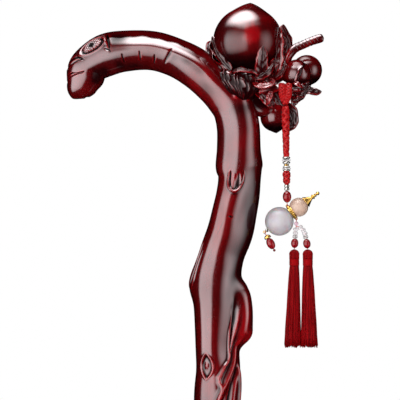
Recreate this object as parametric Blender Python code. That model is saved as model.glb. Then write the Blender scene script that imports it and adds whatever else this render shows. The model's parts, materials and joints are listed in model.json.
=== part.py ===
"""Walking cane carved from one knotted branch, with a bead charm hanging from its head.

Metres, +Z up. The origin is the centre of the ferrule's sole. The handle points to -X and the
carved front faces -Y. Tables of the head are measured from HEAD, where handle, shaft and fruit meet.
"""

import math

import bmesh
import bpy
import numpy as np
from mathutils import Vector

# Cane
HEAD_HEIGHT = 0.835
FOOT_RADIUS = 0.0098
LIMB_SIDES = 20

# Ferrule
SOLE_THICKNESS = 0.008
FERRULE_HEIGHT = 0.036
SOLE_RADIUS = 0.0150
FERRULE_WALL = 0.0028
FERRULE_LIP = 0.0007
TREAD_DEPTH = 0.0012
TREAD_RADII = (0.0060, 0.0100)
TREAD_WIDTH = 0.0014
WASHER_RADIUS = 0.0088
WASHER_THICKNESS = 0.0012

# Fruit of the head
BIG_PEACH_RADIUS = 0.0245
BIG_PEACH_TIP = 0.0025
BIG_PEACH_LEAN = 4.0
FRONT_PEACH_RADIUS = 0.0100
BACK_PEACH_RADIUS = 0.0107
LOW_PEACH_RADIUS = 0.0101
LEAF_THICKNESS = 0.0018

# Hanging bar and the hitch of cord round it
BAR_RADIUS = 0.0016
BAR_LENGTH = 0.0105
HITCH_CORD_RADIUS = 0.0011
HITCH_SPREAD = 0.0019
HITCH_SPLAY = 18.0
HITCH_DROP = 0.0091
HITCH_END_RADIUS = 0.0023
CHARM_LEAN = 1.0

# Braided cord and the beads below it
BRAID_LENGTH = 0.0350
BRAID_TOP_RADIUS = 0.0024
BRAID_END_RADIUS = 0.0016
BRAID_POINTS = 8
THREAD_RADIUS = 0.00025
LOOP_RADIUS = 0.0008
UPPER_RONDELLE_RADIUS = 0.0029
UPPER_RONDELLE_HEIGHT = 0.0046
GOLD_SPACER_RADIUS = 0.0018
GOLD_SPACER_HEIGHT = 0.0014
LOWER_RONDELLE_RADIUS = 0.0028
LOWER_RONDELLE_HEIGHT = 0.0032
KNOT_RADIUS = 0.0026
KNOT_HEIGHT = 0.0088
SILVER_SPACER_RADIUS = 0.0018
SILVER_SPACER_HEIGHT = 0.0042
OVAL_BEAD_RADIUS = 0.0030
OVAL_BEAD_HEIGHT = 0.0081
LOOP_NECK = 0.0005

# Gourd of two beads
GOURD_LEAN = 54.0
PIN_RADIUS = 0.0006
JADE_RADIUS = 0.0100
JADE_FLAT_RADIUS = 0.0030
JADE_POLE_RADIUS = 0.0020
BULB_RADIUS = 0.0066
BULB_FLAT_RADIUS = 0.0025
WAIST_WEB = 0.0005
WAIST_RIM_RADIUS = 0.0049
WAIST_RIM_THICKNESS = 0.0022
EYE_WIRE_RADIUS = 0.0003
EYE_RADIUS = 0.0008
EYE_OFFSET = 0.0006
CONE_RIM_RADIUS = 0.0042
CONE_WALL = 0.0006
CONE_LENGTH = 0.0052
STEM_RADIUS = 0.0011
STEM_LENGTH = 0.0036
TIP_RADIUS = 0.0013
PIN_SPACER_RADIUS = 0.0013
PIN_SPACER_HEIGHT = 0.0012

# Tail under the jade bead
TAIL_LEAN = -28.0
TAIL_CAP_RADIUS = 0.0023
TAIL_CAP_HEIGHT = 0.0026
TAIL_BEAD_RADIUS = 0.0028
TAIL_BEAD_HEIGHT = 0.0082
TAIL_KNOT_RADIUS = 0.0009

# Forked strands and tassels
PINK_BEAD_RADIUS = 0.0015
PINK_BEAD_HEIGHT = 0.0028
CRYSTAL_RADIUS = 0.0016
CRYSTAL_HEIGHT = 0.0024
STRAND_RONDELLE_RADIUS = 0.0018
STRAND_RONDELLE_HEIGHT = 0.0020
STRAND_BEAD_RADIUS = 0.0026
STRAND_BEAD_HEIGHT = 0.0066
LEFT_LEG_END = (-0.0014, -0.0160)
RIGHT_LEG_END = (0.0080, -0.0160)
LEFT_LEG_START = 0.0009
RIGHT_LEG_START = 0.0019
LEG_STATIONS = 7
FORK_KNOT_RADIUS = 0.0006
TASSEL_HEAD_RADIUS = 0.0034
TASSEL_HEAD_HEIGHT = 0.0100
TASSEL_NECK_RADIUS = 0.0029
SKIRT_TOP_RADIUS = 0.0034
SKIRT_END_RADIUS = 0.0055
SKIRT_LENGTH = 0.0580
SKIRT_FLUTES = 8
SKIRT_FLUTE_DEPTH = 0.0003
LEFT_TASSEL_LEAN = 1.3
RIGHT_TASSEL_LEAN = -0.9

# Clearances
SEAT_GAP = 0.0003
HITCH_BAR_GAP = 0.0004
BORE_GAP = 0.0003

HEAD = Vector((0.0, 0.0, HEAD_HEIGHT))
BAR_CENTRE = HEAD + Vector((0.0488, -0.0080, 0.0042))

FOOT_TOP = FERRULE_HEIGHT + 0.006
# The shaft's centre line below UPPER_LIMB: x, y, share of the height up to it, half width in the
# handle's plane, half depth
LOWER_LIMB = (
    (0.0010, 0.0000, 0.227, 0.0112, 0.0110),
    (0.0030, 0.0015, 0.371, 0.0120, 0.0116),
    (0.0010, 0.0025, 0.495, 0.0121, 0.0126),
    (-0.0028, 0.0010, 0.619, 0.0127, 0.0123),
    (-0.0040, -0.0020, 0.732, 0.0139, 0.0134),
    (-0.0015, -0.0030, 0.866, 0.0134, 0.0138),
)
# The rest from HEAD, up the shaft and along the handle to its nose, with z in place of the share
UPPER_LIMB = (
    (0.0035, -0.0010, -0.350, 0.0138, 0.0138),
    (0.0055, 0.0010, -0.300, 0.0150, 0.0146),
    (0.0020, 0.0015, -0.250, 0.0150, 0.0150),
    (0.0012, 0.0000, -0.213, 0.0162, 0.0158),
    (0.0021, 0.0000, -0.192, 0.0156, 0.0152),
    (0.0018, 0.0000, -0.178, 0.0153, 0.0150),
    (0.0019, 0.0000, -0.163, 0.0158, 0.0155),
    (0.0016, 0.0000, -0.147, 0.0164, 0.0160),
    (0.0010, 0.0000, -0.135, 0.0170, 0.0164),
    (0.0016, 0.0000, -0.124, 0.0166, 0.0160),
    (0.0049, 0.0000, -0.110, 0.0158, 0.0155),
    (0.0104, 0.0000, -0.095, 0.0160, 0.0155),
    (0.0138, 0.0000, -0.081, 0.0156, 0.0152),
    (0.0162, 0.0000, -0.069, 0.0152, 0.0150),
    (0.0173, 0.0000, -0.057, 0.0149, 0.0148),
    (0.0168, 0.0000, -0.049, 0.0162, 0.0156),
    (0.0166, 0.0000, -0.037, 0.0153, 0.0150),
    (0.0162, 0.0000, -0.022, 0.0149, 0.0148),
    (0.0135, 0.0000, -0.010, 0.0148, 0.0146),
    (0.0070, 0.0000, -0.001, 0.0140, 0.0142),
    (-0.0020, 0.0000, 0.008, 0.0130, 0.0138),
    (-0.0135, 0.0008, 0.0192, 0.0141, 0.0138),
    (-0.0281, 0.0024, 0.0272, 0.0136, 0.0134),
    (-0.0447, 0.0045, 0.0321, 0.0139, 0.0136),
    (-0.0637, 0.0069, 0.0320, 0.0146, 0.0138),
    (-0.0770, 0.0085, 0.0290, 0.0150, 0.0139),
    (-0.0885, 0.0098, 0.0217, 0.0136, 0.0132),
    (-0.0912, 0.0101, 0.0140, 0.0136, 0.0124),
    (-0.0933, 0.0102, 0.0080, 0.0113, 0.0110),
    (-0.0946, 0.0103, 0.0036, 0.0096, 0.0094),
    (-0.0951, 0.0103, 0.0002, 0.0070, 0.0069),
    (-0.0950, 0.0103, -0.0015, 0.0034, 0.0034),
)


def material(name, colour, roughness, metallic=0.0, transmission=0.0):
    """A Principled material of one colour."""
    made = bpy.data.materials.new(name)
    made.use_nodes = True
    shader = made.node_tree.nodes["Principled BSDF"]
    shader.inputs["Base Color"].default_value = (*colour, 1.0)
    shader.inputs["Roughness"].default_value = roughness
    shader.inputs["Metallic"].default_value = metallic
    shader.inputs["Transmission Weight"].default_value = transmission
    return made


def solid(name, bm, look, parent=None, location=(0, 0, 0), rotation=(0, 0, 0), sharp=40.0):
    """An object made of a bmesh, with its faces pointing out, smooth apart from its sharp edges."""
    bmesh.ops.recalc_face_normals(bm, faces=bm.faces)
    mesh = bpy.data.meshes.new(name)
    bm.to_mesh(mesh)
    bm.free()
    mesh.shade_smooth()
    mesh.set_sharp_from_angle(angle=math.radians(sharp))
    made = bpy.data.objects.new(name, mesh)
    made.data.materials.append(look)
    bpy.context.scene.collection.objects.link(made)
    made.parent = parent
    made.location = location
    made.rotation_euler = rotation
    return made


def axis(name, parent, location, lean=0.0):
    """An empty on a joint's axis, turned about Y by so many degrees from its parent."""
    made = bpy.data.objects.new(name, None)
    made.empty_display_size = 0.005
    bpy.context.scene.collection.objects.link(made)
    made.parent = parent
    made.location = location
    made.rotation_euler = (0.0, math.radians(lean), 0.0)
    return made


def fuse(name, first, others, look):
    """One solid, the Boolean union of several, which are removed."""
    for other in others:
        union = first.modifiers.new(other.name, "BOOLEAN")
        union.operation = "UNION"
        union.solver = "EXACT"
        union.use_self = True
        union.object = other
    bpy.context.view_layer.update()
    mesh = bpy.data.meshes.new_from_object(first.evaluated_get(bpy.context.evaluated_depsgraph_get()))
    first.modifiers.clear()
    for other in others:
        bpy.data.objects.remove(other)
    bm = bmesh.new()
    bm.from_mesh(mesh)
    bmesh.ops.remove_doubles(bm, verts=bm.verts, dist=0.000001)
    bmesh.ops.dissolve_degenerate(bm, edges=bm.edges, dist=0.000001)
    bmesh.ops.triangulate(bm, faces=bm.faces)
    parent, place, turn = first.parent, first.location.copy(), first.rotation_euler.copy()
    bpy.data.objects.remove(first)
    return solid(name, bm, look, parent, place, turn)


def turned(profile, segments):
    """A solid of revolution about Z of a section's (radius, height) points, open at the axis or closed."""
    bm = bmesh.new()
    points = [bm.verts.new((radius, 0.0, height)) for radius, height in profile]
    edges = [bm.edges.new(pair) for pair in zip(points, points[1:])]
    if profile[0][0] > 0.0:
        edges.append(bm.edges.new((points[-1], points[0])))
    bmesh.ops.spin(
        bm, geom=points + edges, cent=(0, 0, 0), axis=(0, 0, 1), angle=math.tau, steps=segments,
        use_merge=True,
    )
    bmesh.ops.remove_doubles(bm, verts=bm.verts, dist=0.000001)
    return bm


def lofted(rings):
    """A closed solid through rings of as many points each, with flat ends."""
    bm = bmesh.new()
    loops = [[bm.verts.new(point) for point in ring] for ring in rings]
    for lower, upper in zip(loops, loops[1:]):
        count = len(lower)
        for i in range(count):
            j = (i + 1) % count
            bm.faces.new((lower[i], lower[j], upper[j], upper[i]))
    bm.faces.new(loops[0])
    bm.faces.new(loops[-1])
    return bm


def smooth_rows(rows, steps):
    """Rows of numbers read from the smooth curve through the given rows."""
    rows = np.array(rows, float)
    padded = np.vstack([2 * rows[0] - rows[1], rows, 2 * rows[-1] - rows[-2]])
    found = []
    for i in range(len(rows) - 1):
        a, b, c, d = padded[i : i + 4]
        for t in np.arange(steps) / steps:
            found.append(
                0.5 * (2 * b + (c - a) * t + (2 * a - 5 * b + 4 * c - d) * t**2
                       + (3 * b - a - 3 * c + d) * t**3)
            )
    found.append(rows[-1])
    return np.array(found)


def at_lengths(rows, lengths):
    """Rows at given lengths along the path of their first three numbers."""
    steps = np.linalg.norm(np.diff(rows[:, :3], axis=0), axis=1)
    travelled = np.concatenate([[0.0], np.cumsum(steps)])
    return np.column_stack([np.interp(lengths, travelled, rows[:, k]) for k in range(rows.shape[1])])


def path_length(rows):
    return float(np.linalg.norm(np.diff(rows[:, :3], axis=0), axis=1).sum())


def round_rings(stations, sides):
    """Rings round a path of (x, y, z, radius) stations, each square to the path."""
    stations = np.array(stations, float)
    centres, radii = stations[:, :3], stations[:, 3]
    tangents = np.gradient(centres, axis=0)
    side = Vector((0.0, 1.0, 0.0))
    rings = []
    for centre, tangent, radius in zip(centres, tangents, map(float, radii)):
        forward = Vector(tangent).normalized()
        across = forward.cross(side).normalized()
        side = across.cross(forward).normalized()
        rings.append(
            [
                Vector(centre) + radius * (math.cos(turn) * across + math.sin(turn) * side)
                for turn in (math.tau * i / sides for i in range(sides))
            ]
        )
    return rings


def from_head(points):
    """Points with their first three numbers moved from HEAD to the floor's centre."""
    return [(x, y, z + HEAD_HEIGHT, *more) for x, y, z, *more in points]


# The knotted limb. Places on it are a length, counted so that the nose ends at CARVED_LENGTH, and
# an angle round it: 0 in front, 90 on the bend's outer side, -90 on its inner side, 180 behind.
CARVED_LENGTH = 0.9638

# Ridges and grooves along the limb: (length, angle) points, half width, height, fade at the ends
RIDGES = (
    (((0.649, 72), (0.672, 76), (0.702, 72)), 0.0066, 0.0086, 0.012),
    (((0.628, 2), (0.6435, 36), (0.680, 38)), 0.0024, 0.0016, 0.010),
    (((0.606, -6), (0.6265, 20), (0.648, 58)), 0.0026, 0.0018, 0.010),
    (((0.575, 36), (0.613, 50), (0.636, 52)), 0.0030, -0.0026, 0.010),
    (((0.684, -86), (0.705, -84), (0.730, -78)), 0.0032, 0.0024, 0.010),
    (((0.684, -66), (0.705, -64), (0.728, -60)), 0.0022, 0.0012, 0.010),
    (((0.560, -120), (0.640, -150), (0.700, -140)), 0.0050, 0.0022, 0.020),
    (((0.600, 150), (0.680, 128), (0.760, 140)), 0.0055, 0.0024, 0.025),
    (((0.430, 60), (0.500, 96), (0.560, 80)), 0.0055, 0.0026, 0.020),
    (((0.400, -30), (0.470, -62), (0.540, -48)), 0.0050, 0.0024, 0.020),
    (((0.440, 175), (0.500, 200), (0.560, 190)), 0.0050, 0.0022, 0.020),
    (((0.250, 20), (0.320, -6), (0.390, 14)), 0.0045, 0.0020, 0.020),
    (((0.220, 130), (0.300, 160), (0.380, 140)), 0.0050, 0.0022, 0.020),
    (((0.120, -80), (0.200, -110), (0.280, -96)), 0.0045, 0.0018, 0.020),
)

# How close the rings of facets are, from each length up to the next. The first starts at FOOT_TOP
RING_GAPS = ((0.042, 0.0260), (0.596, 0.0062), (0.735, 0.0120), (0.934, 0.0023))

# The last rings before the nose'"'"'s end, as distances from it
NOSE_RINGS = (0.0034, 0.0030, 0.0014, 0.0)

# Knots and hollows: length, angle, half length, half width, height
KNOTS = (
    (0.6940, -88, 0.008, 0.006, 0.0024),
    (0.6365, -28, 0.0085, 0.004, -0.0022),
    (0.4700, 10, 0.010, 0.007, 0.0026),
    (0.3550, -95, 0.010, 0.007, 0.0030),
    (0.2900, 60, 0.009, 0.006, 0.0022),
    (0.1700, 25, 0.009, 0.006, 0.0018),
    (0.5300, -150, 0.011, 0.008, 0.0026),
    (0.7350, 172, 0.010, 0.007, 0.0026),
)

# Scars of cut branches, a rim round a sunk face: length, angle, radius, rim height, depth
SCARS = (
    (0.7690, -10, 0.0062, 0.0009, 0.0013),
    (0.4050, 105, 0.0060, 0.0010, 0.0012),
    (0.6600, 178, 0.0065, 0.0011, 0.0013),
)

# Grooves across the nose, alike in front and behind: length on the outer side, length and angle
# where they end in front, half width, depth
CREASES = (
    (0.9443, 0.9385, 22, 0.0013, 0.0014),
    (0.9510, 0.9452, 4, 0.0013, 0.0014),
)


def turn_between(angle, other):
    """The difference of two angles in degrees, from -180 to 180."""
    return (angle - other + 180.0) % 360.0 - 180.0


def fade_in(value, start, width):
    """0 before start, 1 from start + width on, and smooth between."""
    t = min(max((value - start) / width, 0.0), 1.0)
    return t * t * (3.0 - 2.0 * t)


def relief(length, angle, radius):
    """How far the carving stands out of the limb's round section at a place on it."""
    height = 0.0
    for points, half_width, rise, fade in RIDGES:
        first, last = points[0][0], points[-1][0]
        if first < length < last:
            middle = np.interp(length, [p[0] for p in points], [p[1] for p in points])
            away = math.radians(turn_between(angle, middle)) * radius / half_width
            ends = fade_in(length, first, fade) * (1.0 - fade_in(length, last - fade, fade))
            height += rise * ends * math.exp(-away * away)
    for middle, turn, half_length, half_width, rise in KNOTS:
        along = (length - middle) / half_length
        away = math.radians(turn_between(angle, turn)) * radius / half_width
        height += rise * math.exp(-(along * along + away * away))
    for middle, turn, size, rim, depth in SCARS:
        away = math.hypot(length - middle, math.radians(turn_between(angle, turn)) * radius) / size
        height += rim * math.exp(-(((away - 1.15) / 0.3) ** 2)) - depth * (1.0 - fade_in(away, 0.6, 0.4))
    for outer, end, end_angle, half_width, depth in CREASES:
        share = abs(turn_between(angle, 90.0)) / (90.0 - end_angle)
        along = (length - outer - (end - outer) * share) / half_width
        height -= depth * (1.0 - fade_in(share, 0.7, 0.5)) * math.exp(-along * along)
    return float(height)


def limb_path():
    """The limb's rows of x, y, z, half width and half depth, close together, from foot to nose."""
    foot = SOLE_THICKNESS + WASHER_THICKNESS + 2 * SEAT_GAP
    straight = [(0.0, 0.0, z, FOOT_RADIUS, FOOT_RADIUS) for z in (foot, FERRULE_HEIGHT / 2, FOOT_TOP)]
    middle = UPPER_LIMB[0][2] + HEAD_HEIGHT
    lower = [(x, y, share * middle, *more) for x, y, share, *more in LOWER_LIMB]
    rest = smooth_rows([straight[1], straight[2], *lower, *from_head(UPPER_LIMB)], 12)[12:]
    return np.vstack([straight[:2], rest])


def limb(look):
    """The branch that is the shaft and, bent over, the handle."""
    path = limb_path()
    total = path_length(path)
    shift = total - CARVED_LENGTH
    lengths = [0.0]
    starts = [FOOT_TOP] + [start + shift for start, _ in RING_GAPS[1:]] + [total - NOSE_RINGS[0]]
    for start, stop, (_, gap) in zip(starts, starts[1:], RING_GAPS):
        count = round((stop - start) / gap)
        lengths += [start + (stop - start) * i / count for i in range(count)]
    lengths += [total - back for back in NOSE_RINGS[1:]]
    rows = at_lengths(path, lengths)
    tangents = np.gradient(rows[:, :3], axis=0)
    front = Vector((0.0, -1.0, 0.0))
    rings = []
    for length, (x, y, z, width, depth), (along_x, _, along_z) in zip(lengths, rows.tolist(), tangents):
        outer = Vector((along_z, 0.0, -along_x)).normalized()
        carved = fade_in(length, FOOT_TOP + 0.02, 0.05)
        ring = []
        for i in range(LIMB_SIDES):
            angle = 360.0 * i / LIMB_SIDES - 90.0
            turn = math.radians(angle)
            height = carved * relief(length - shift, angle, width)
            ring.append(
                Vector((x, y, z))
                + (width + height) * math.sin(turn) * outer
                + (depth + height) * math.cos(turn) * front
            )
        rings.append(ring)
    return solid("limb", lofted(rings), look)


def peach(name, radius, tip, look, location, lean, cleft, segments=24, rings=12, squash=1.0):
    """A carved peach with its tip up, then leaned (degrees about X, Y, Z), and a cleft down one side."""
    profile = []
    for i in range(rings + 1):
        turn = math.pi * (1.0 - i / rings)
        point = max(0.0, 1.0 - turn / 0.8) ** 2
        profile.append((radius * math.sin(turn), radius * math.cos(turn) * squash + tip * point))
    profile[0] = (0.0, -radius * squash)
    profile[-1] = (0.0, radius * squash + tip)
    bm = turned(profile, segments)
    for vert in bm.verts:
        x, y, z = vert.co
        away = turn_between(math.degrees(math.atan2(y, x)), cleft) / 14.0
        sunk = 1.0 - 0.07 * math.exp(-away * away) * min(1.0, math.hypot(x, y) / radius * 2.0)
        vert.co = (x * sunk, y * sunk, z)
    turn = [math.radians(a) for a in lean]
    return solid(name, bm, look, None, location, turn)


def leaf(name, root, tip, width, bulge, facing, look, stations=5):
    """A carved leaf between two points, bowed towards the way it faces, with a sunk midrib."""
    root, tip, facing = Vector(root), Vector(tip), Vector(facing).normalized()
    along = tip - root
    across = along.cross(facing).normalized()
    out = across.cross(along).normalized()
    section = ((-1.0, 0.0), (-0.5, 0.8), (0.0, 0.3), (0.5, 0.8), (1.0, 0.0), (0.0, -1.0))
    rings = []
    for i in range(stations):
        t = 0.02 + 0.96 * i / (stations - 1)
        half = 0.5 * width * math.sin(math.pi * t**0.85) ** 0.6 + 0.0003
        thick = LEAF_THICKNESS * (0.35 + 0.65 * math.sin(math.pi * t))
        middle = root + along * t + out * (4.0 * bulge * t * (1.0 - t))
        rings.append([middle + across * (half * u) + out * (thick * v) for u, v in section])
    return solid(name, lofted(rings), look, sharp=30.0)


# Leaves of the head from HEAD: name, root, tip, width, bulge, facing
LEAVES = (
    ("left_leaf", (0.0075, -0.0105, 0.0125), (-0.0022, -0.0040, 0.0412), 0.0095, 0.0040, (-0.8, -0.6, 0.1)),
    ("left_leaf_back", (0.0070, 0.0080, 0.0125), (-0.0030, 0.0060, 0.0385), 0.0110, 0.0040,
     (-0.8, 0.6, 0.1)),
    ("right_leaf", (0.0425, -0.0105, 0.0160), (0.0441, -0.0090, 0.0484), 0.0070, 0.0048, (0.5, -0.85, 0.0)),
    ("right_leaf_back", (0.0500, -0.0010, 0.0190), (0.0485, 0.0000, 0.0500), 0.0110, 0.0040,
     (0.8, -0.5, 0.1)),
    ("front_leaf", (0.0357, -0.0170, 0.0110), (0.0333, -0.0215, 0.0335), 0.0095, 0.0020, (0.2, -1.0, 0.0)),
    ("fan_leaf_1", (0.0150, -0.0090, 0.0170), (0.0060, -0.0135, 0.0100), 0.0052, 0.0026, (-0.3, -1.0, 0.2)),
    ("fan_leaf_2", (0.0155, -0.0095, 0.0160), (0.0098, -0.0150, 0.0050), 0.0056, 0.0030, (-0.2, -1.0, 0.1)),
    ("fan_leaf_3", (0.0175, -0.0095, 0.0160), (0.0160, -0.0155, 0.0005), 0.0060, 0.0032, (0.0, -1.0, 0.1)),
    ("fan_leaf_4", (0.0200, -0.0095, 0.0160), (0.0222, -0.0150, -0.0008), 0.0060, 0.0032, (0.1, -1.0, 0.1)),
    ("fan_leaf_5", (0.0225, -0.0090, 0.0165), (0.0280, -0.0130, 0.0045), 0.0056, 0.0028, (0.3, -1.0, 0.1)),
    ("mid_leaf", (0.0270, -0.0100, 0.0090), (0.0410, -0.0110, 0.0110), 0.0062, 0.0020, (0.0, -1.0, 0.4)),
    ("low_leaf", (0.0290, -0.0070, 0.0060), (0.0395, -0.0085, -0.0075), 0.0072, 0.0022, (0.2, -1.0, 0.0)),
    ("tangle_leaf", (0.0330, -0.0120, 0.0170), (0.0490, -0.0080, 0.0245), 0.0056, 0.0024, (0.1, -1.0, 0.2)),
    ("under_leaf", (0.0545, -0.0020, 0.0035), (0.0675, -0.0050, 0.0110), 0.0080, 0.0020, (0.1, -1.0, -0.4)),
    ("wedge_leaf", (0.0580, 0.0010, 0.0070), (0.0745, 0.0000, 0.0022), 0.0060, 0.0010, (0.2, -1.0, 0.3)),
    ("curl_leaf", (0.0640, 0.0000, 0.0040), (0.0550, 0.0000, -0.0022), 0.0056, 0.0016, (0.1, -1.0, -0.2)),
    ("low_peach_leaf", (0.0400, 0.0060, -0.0040), (0.0515, 0.0045, -0.0225), 0.0115, 0.0020,
     (0.3, -1.0, 0.1)),
    ("rear_leaf_1", (0.0330, 0.0160, 0.0110), (0.0310, 0.0215, 0.0345), 0.0100, 0.0025, (0.1, 1.0, 0.0)),
    ("rear_leaf_2", (0.0420, 0.0090, 0.0150), (0.0445, 0.0085, 0.0450), 0.0085, 0.0045, (0.6, 0.8, 0.0)),
    ("rear_leaf_3", (0.0200, 0.0090, 0.0160), (0.0180, 0.0150, 0.0010), 0.0075, 0.0030, (0.0, 1.0, 0.1)),
    ("rear_leaf_4", (0.0290, 0.0070, 0.0130), (0.0410, 0.0080, 0.0015), 0.0075, 0.0022, (0.1, 1.0, 0.0)),
)

# Branches of the head from HEAD: name and stations of x, y, z, radius
BRANCHES = (
    ("arm", ((0.010, 0, 0.002, 0.0110), (0.0245, 0, 0.009, 0.0112), (0.037, -0.001, 0.0145, 0.0090),
             (0.048, 0, 0.0178, 0.0066), (0.058, 0.001, 0.0170, 0.0055))),
    ("calyx", ((0.0170, 0, -0.0020, 0.0105), (0.0190, 0, 0.0060, 0.0140), (0.0215, 0, 0.0160, 0.0150),
               (0.0225, 0, 0.0215, 0.0120))),
    ("twig", ((0.045, -0.001, 0.020, 0.0040), (0.051, -0.002, 0.0285, 0.0034),
              (0.0560, -0.0025, 0.0335, 0.0029),
              (0.0600, -0.0025, 0.0352, 0.0034), (0.0620, -0.0025, 0.0360, 0.0029),
              (0.0650, -0.0025, 0.0371, 0.0034), (0.0670, -0.0025, 0.0378, 0.0029),
              (0.0738, -0.0025, 0.0403, 0.0031), (0.0745, -0.0025, 0.0406, 0.0024))),
    ("low_stem", ((0.026, 0.001, -0.002, 0.0075), (0.034, 0.002, -0.0095, 0.0062),
                  (0.041, 0.003, -0.0125, 0.0055))),
    ("wood_of_front_peach", ((0.050, -0.001, 0.0165, 0.0060), (0.060, 0.003, 0.0125, 0.0066),
                             (0.067, 0.006, 0.0130, 0.005))),
)


def hanger(look):
    """The little carved bar that the charm hangs from, and the post that holds its free end."""
    x, y, z = BAR_CENTRE
    half = BAR_LENGTH / 2
    bar = (
        (HEAD.x + 0.0310, -0.0060, HEAD.z + 0.0030, 0.0040),
        (x - half - 0.0040, y + 0.0004, z, 0.0028),
        (x - half, y, z, BAR_RADIUS),
        (x, y, z, BAR_RADIUS),
        (x + half, y, z, BAR_RADIUS),
        (x + half + 0.0040, y + 0.0006, z, 0.0025),
        (x + half + 0.0060, y + 0.0010, z, 0.0018),
    )
    post = (
        (x + half + 0.0032, y + 0.0004, z - 0.0012, 0.0016),
        (x + half + 0.0040, y + 0.0020, z + 0.0024, 0.0028),
        (x + half + 0.0060, y + 0.0070, z + 0.0110, 0.0046),
    )
    return [
        solid("bar", lofted(round_rings(bar, 10)), look),
        solid("post", lofted(round_rings(post, 8)), look),
    ]


def carved_cane(look):
    """The whole carving: limb, fruit, leaves, branches and hanging bar are one piece of wood."""
    parts = [
        peach("big_peach", BIG_PEACH_RADIUS, BIG_PEACH_TIP, look, HEAD + Vector((0.0231, 0.0, 0.0378)),
              (0, BIG_PEACH_LEAN, 0), 90.0, 24, 12),
        peach("front_peach", FRONT_PEACH_RADIUS, 0.0012, look, HEAD + Vector((0.0574, -0.0025, 0.0154)),
              (70, 0, 24), 10.0, 14, 7, 0.92),
        peach("back_peach", BACK_PEACH_RADIUS, 0.0012, look, HEAD + Vector((0.0647, 0.0080, 0.0185)),
              (-40, 60, 0), 200.0, 14, 7),
        peach("low_peach", LOW_PEACH_RADIUS, 0.0012, look, HEAD + Vector((0.0420, 0.0040, -0.0147)),
              (180, 8, 0), 200.0, 14, 7),
    ]
    for name, stations in BRANCHES:
        parts.append(solid(name, lofted(round_rings(from_head(stations), 8)), look))
    for name, root, tip, width, bulge, facing in LEAVES:
        parts.append(leaf(name, HEAD + Vector(root), HEAD + Vector(tip), width, bulge, facing, look))
    parts += hanger(look)
    return fuse("carved_cane", limb(look), parts, look)


# The ferrule


def rubber_ferrule(look):
    """The rubber cup on the foot, with tread grooves in its sole and a lip round its mouth."""
    bore = FOOT_RADIUS + SEAT_GAP
    wall = bore + FERRULE_WALL
    sole = [(0.0, 0.0)]
    for middle in TREAD_RADII:
        inner, outer = middle - TREAD_WIDTH / 2, middle + TREAD_WIDTH / 2
        sole += [(inner, 0.0), (inner, TREAD_DEPTH), (outer, TREAD_DEPTH), (outer, 0.0)]
    outside = [
        (SOLE_RADIUS - 0.0012, 0.0),
        (SOLE_RADIUS, 0.0012),
        (SOLE_RADIUS, SOLE_THICKNESS * 0.75),
        (wall, SOLE_THICKNESS * 1.4),
        (wall, FERRULE_HEIGHT - 0.0040),
        (wall + FERRULE_LIP, FERRULE_HEIGHT - 0.0032),
        (wall + FERRULE_LIP, FERRULE_HEIGHT - 0.0006),
        (wall, FERRULE_HEIGHT),
    ]
    inside = [(bore, FERRULE_HEIGHT), (bore, SOLE_THICKNESS), (0.0, SOLE_THICKNESS)]
    return solid("rubber_ferrule", turned(sole + outside + inside, 20), look)


def ferrule_washer(look):
    """The steel disc that keeps the foot from punching through the rubber."""
    edge = 0.0002
    profile = [
        (0.0, 0.0),
        (WASHER_RADIUS - edge, 0.0),
        (WASHER_RADIUS, edge),
        (WASHER_RADIUS, WASHER_THICKNESS - edge),
        (WASHER_RADIUS - edge, WASHER_THICKNESS),
        (0.0, WASHER_THICKNESS),
    ]
    return solid("ferrule_washer", turned(profile, 20), look, None, (0, 0, SOLE_THICKNESS + SEAT_GAP))


# Beads and threads of the charm

BORE_RADIUS = THREAD_RADIUS + BORE_GAP


def bead(name, radius, height, look, parent, location, rotation=(0, 0, 0), segments=12, rings=6, bore=None):
    """An oval bead with a bore along Z, centred on its middle."""
    bore = BORE_RADIUS if bore is None else bore
    start = math.asin(bore / radius)
    profile = []
    for i in range(rings + 1):
        turn = start + (math.pi - 2 * start) * i / rings
        profile.append((radius * math.sin(turn), -height / 2 * math.cos(turn) / math.cos(start)))
    return solid(name, turned(profile, segments), look, parent, location, rotation)


def rondelle(name, radius, height, look, parent, location, rotation=(0, 0, 0), segments=14):
    """A metal disc bead with two rims and a recessed band for stones between them."""
    rim, lip = height * 0.22, height * 0.08
    half = height / 2
    profile = [
        (BORE_RADIUS, -half),
        (radius * 0.86, -half),
        (radius * 0.97, -half + lip),
        (radius * 0.90, -half + rim),
        (radius, 0.0),
        (radius * 0.90, half - rim),
        (radius * 0.97, half - lip),
        (radius * 0.86, half),
        (BORE_RADIUS, half),
    ]
    return solid(name, turned(profile, segments), look, parent, location, rotation, 30.0)


def spacer(name, radius, height, look, parent, location, bore=None, rings=1):
    """A small ringed metal tube."""
    bore = BORE_RADIUS if bore is None else bore
    profile = [(bore, -height / 2)]
    step = height / rings
    for i in range(rings):
        low = -height / 2 + i * step
        profile += [(radius * 0.8, low), (radius, low + step * 0.35), (radius, low + step * 0.65)]
    profile += [(radius * 0.8, height / 2), (bore, height / 2)]
    return solid(name, turned(profile, 12), look, parent, location, sharp=50.0)


def torus(name, radius, wire, look, parent, location, rotation=(0, 0, 0), segments=12, sides=6):
    """A closed ring of round wire about Z."""
    profile = [
        (radius + wire * math.cos(turn), wire * math.sin(turn))
        for turn in (math.tau * i / sides for i in range(sides))
    ]
    return solid(name, turned(profile, segments), look, parent, location, rotation)


def ball(name, radius, look, parent, location, segments=8, rings=5):
    """A closed round bead or knot."""
    turns = [math.pi * (1 - i / rings) for i in range(rings + 1)]
    profile = [(radius * math.sin(turn), radius * math.cos(turn)) for turn in turns]
    profile[0], profile[-1] = (0.0, -radius), (0.0, radius)
    return solid(name, turned(profile, segments), look, parent, location)


def rod(name, points, radius, look, parent, sides=6):
    """A round thread through points."""
    stations = [(*point, radius) for point in points]
    return solid(name, lofted(round_rings(stations, sides)), look, parent)


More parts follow.
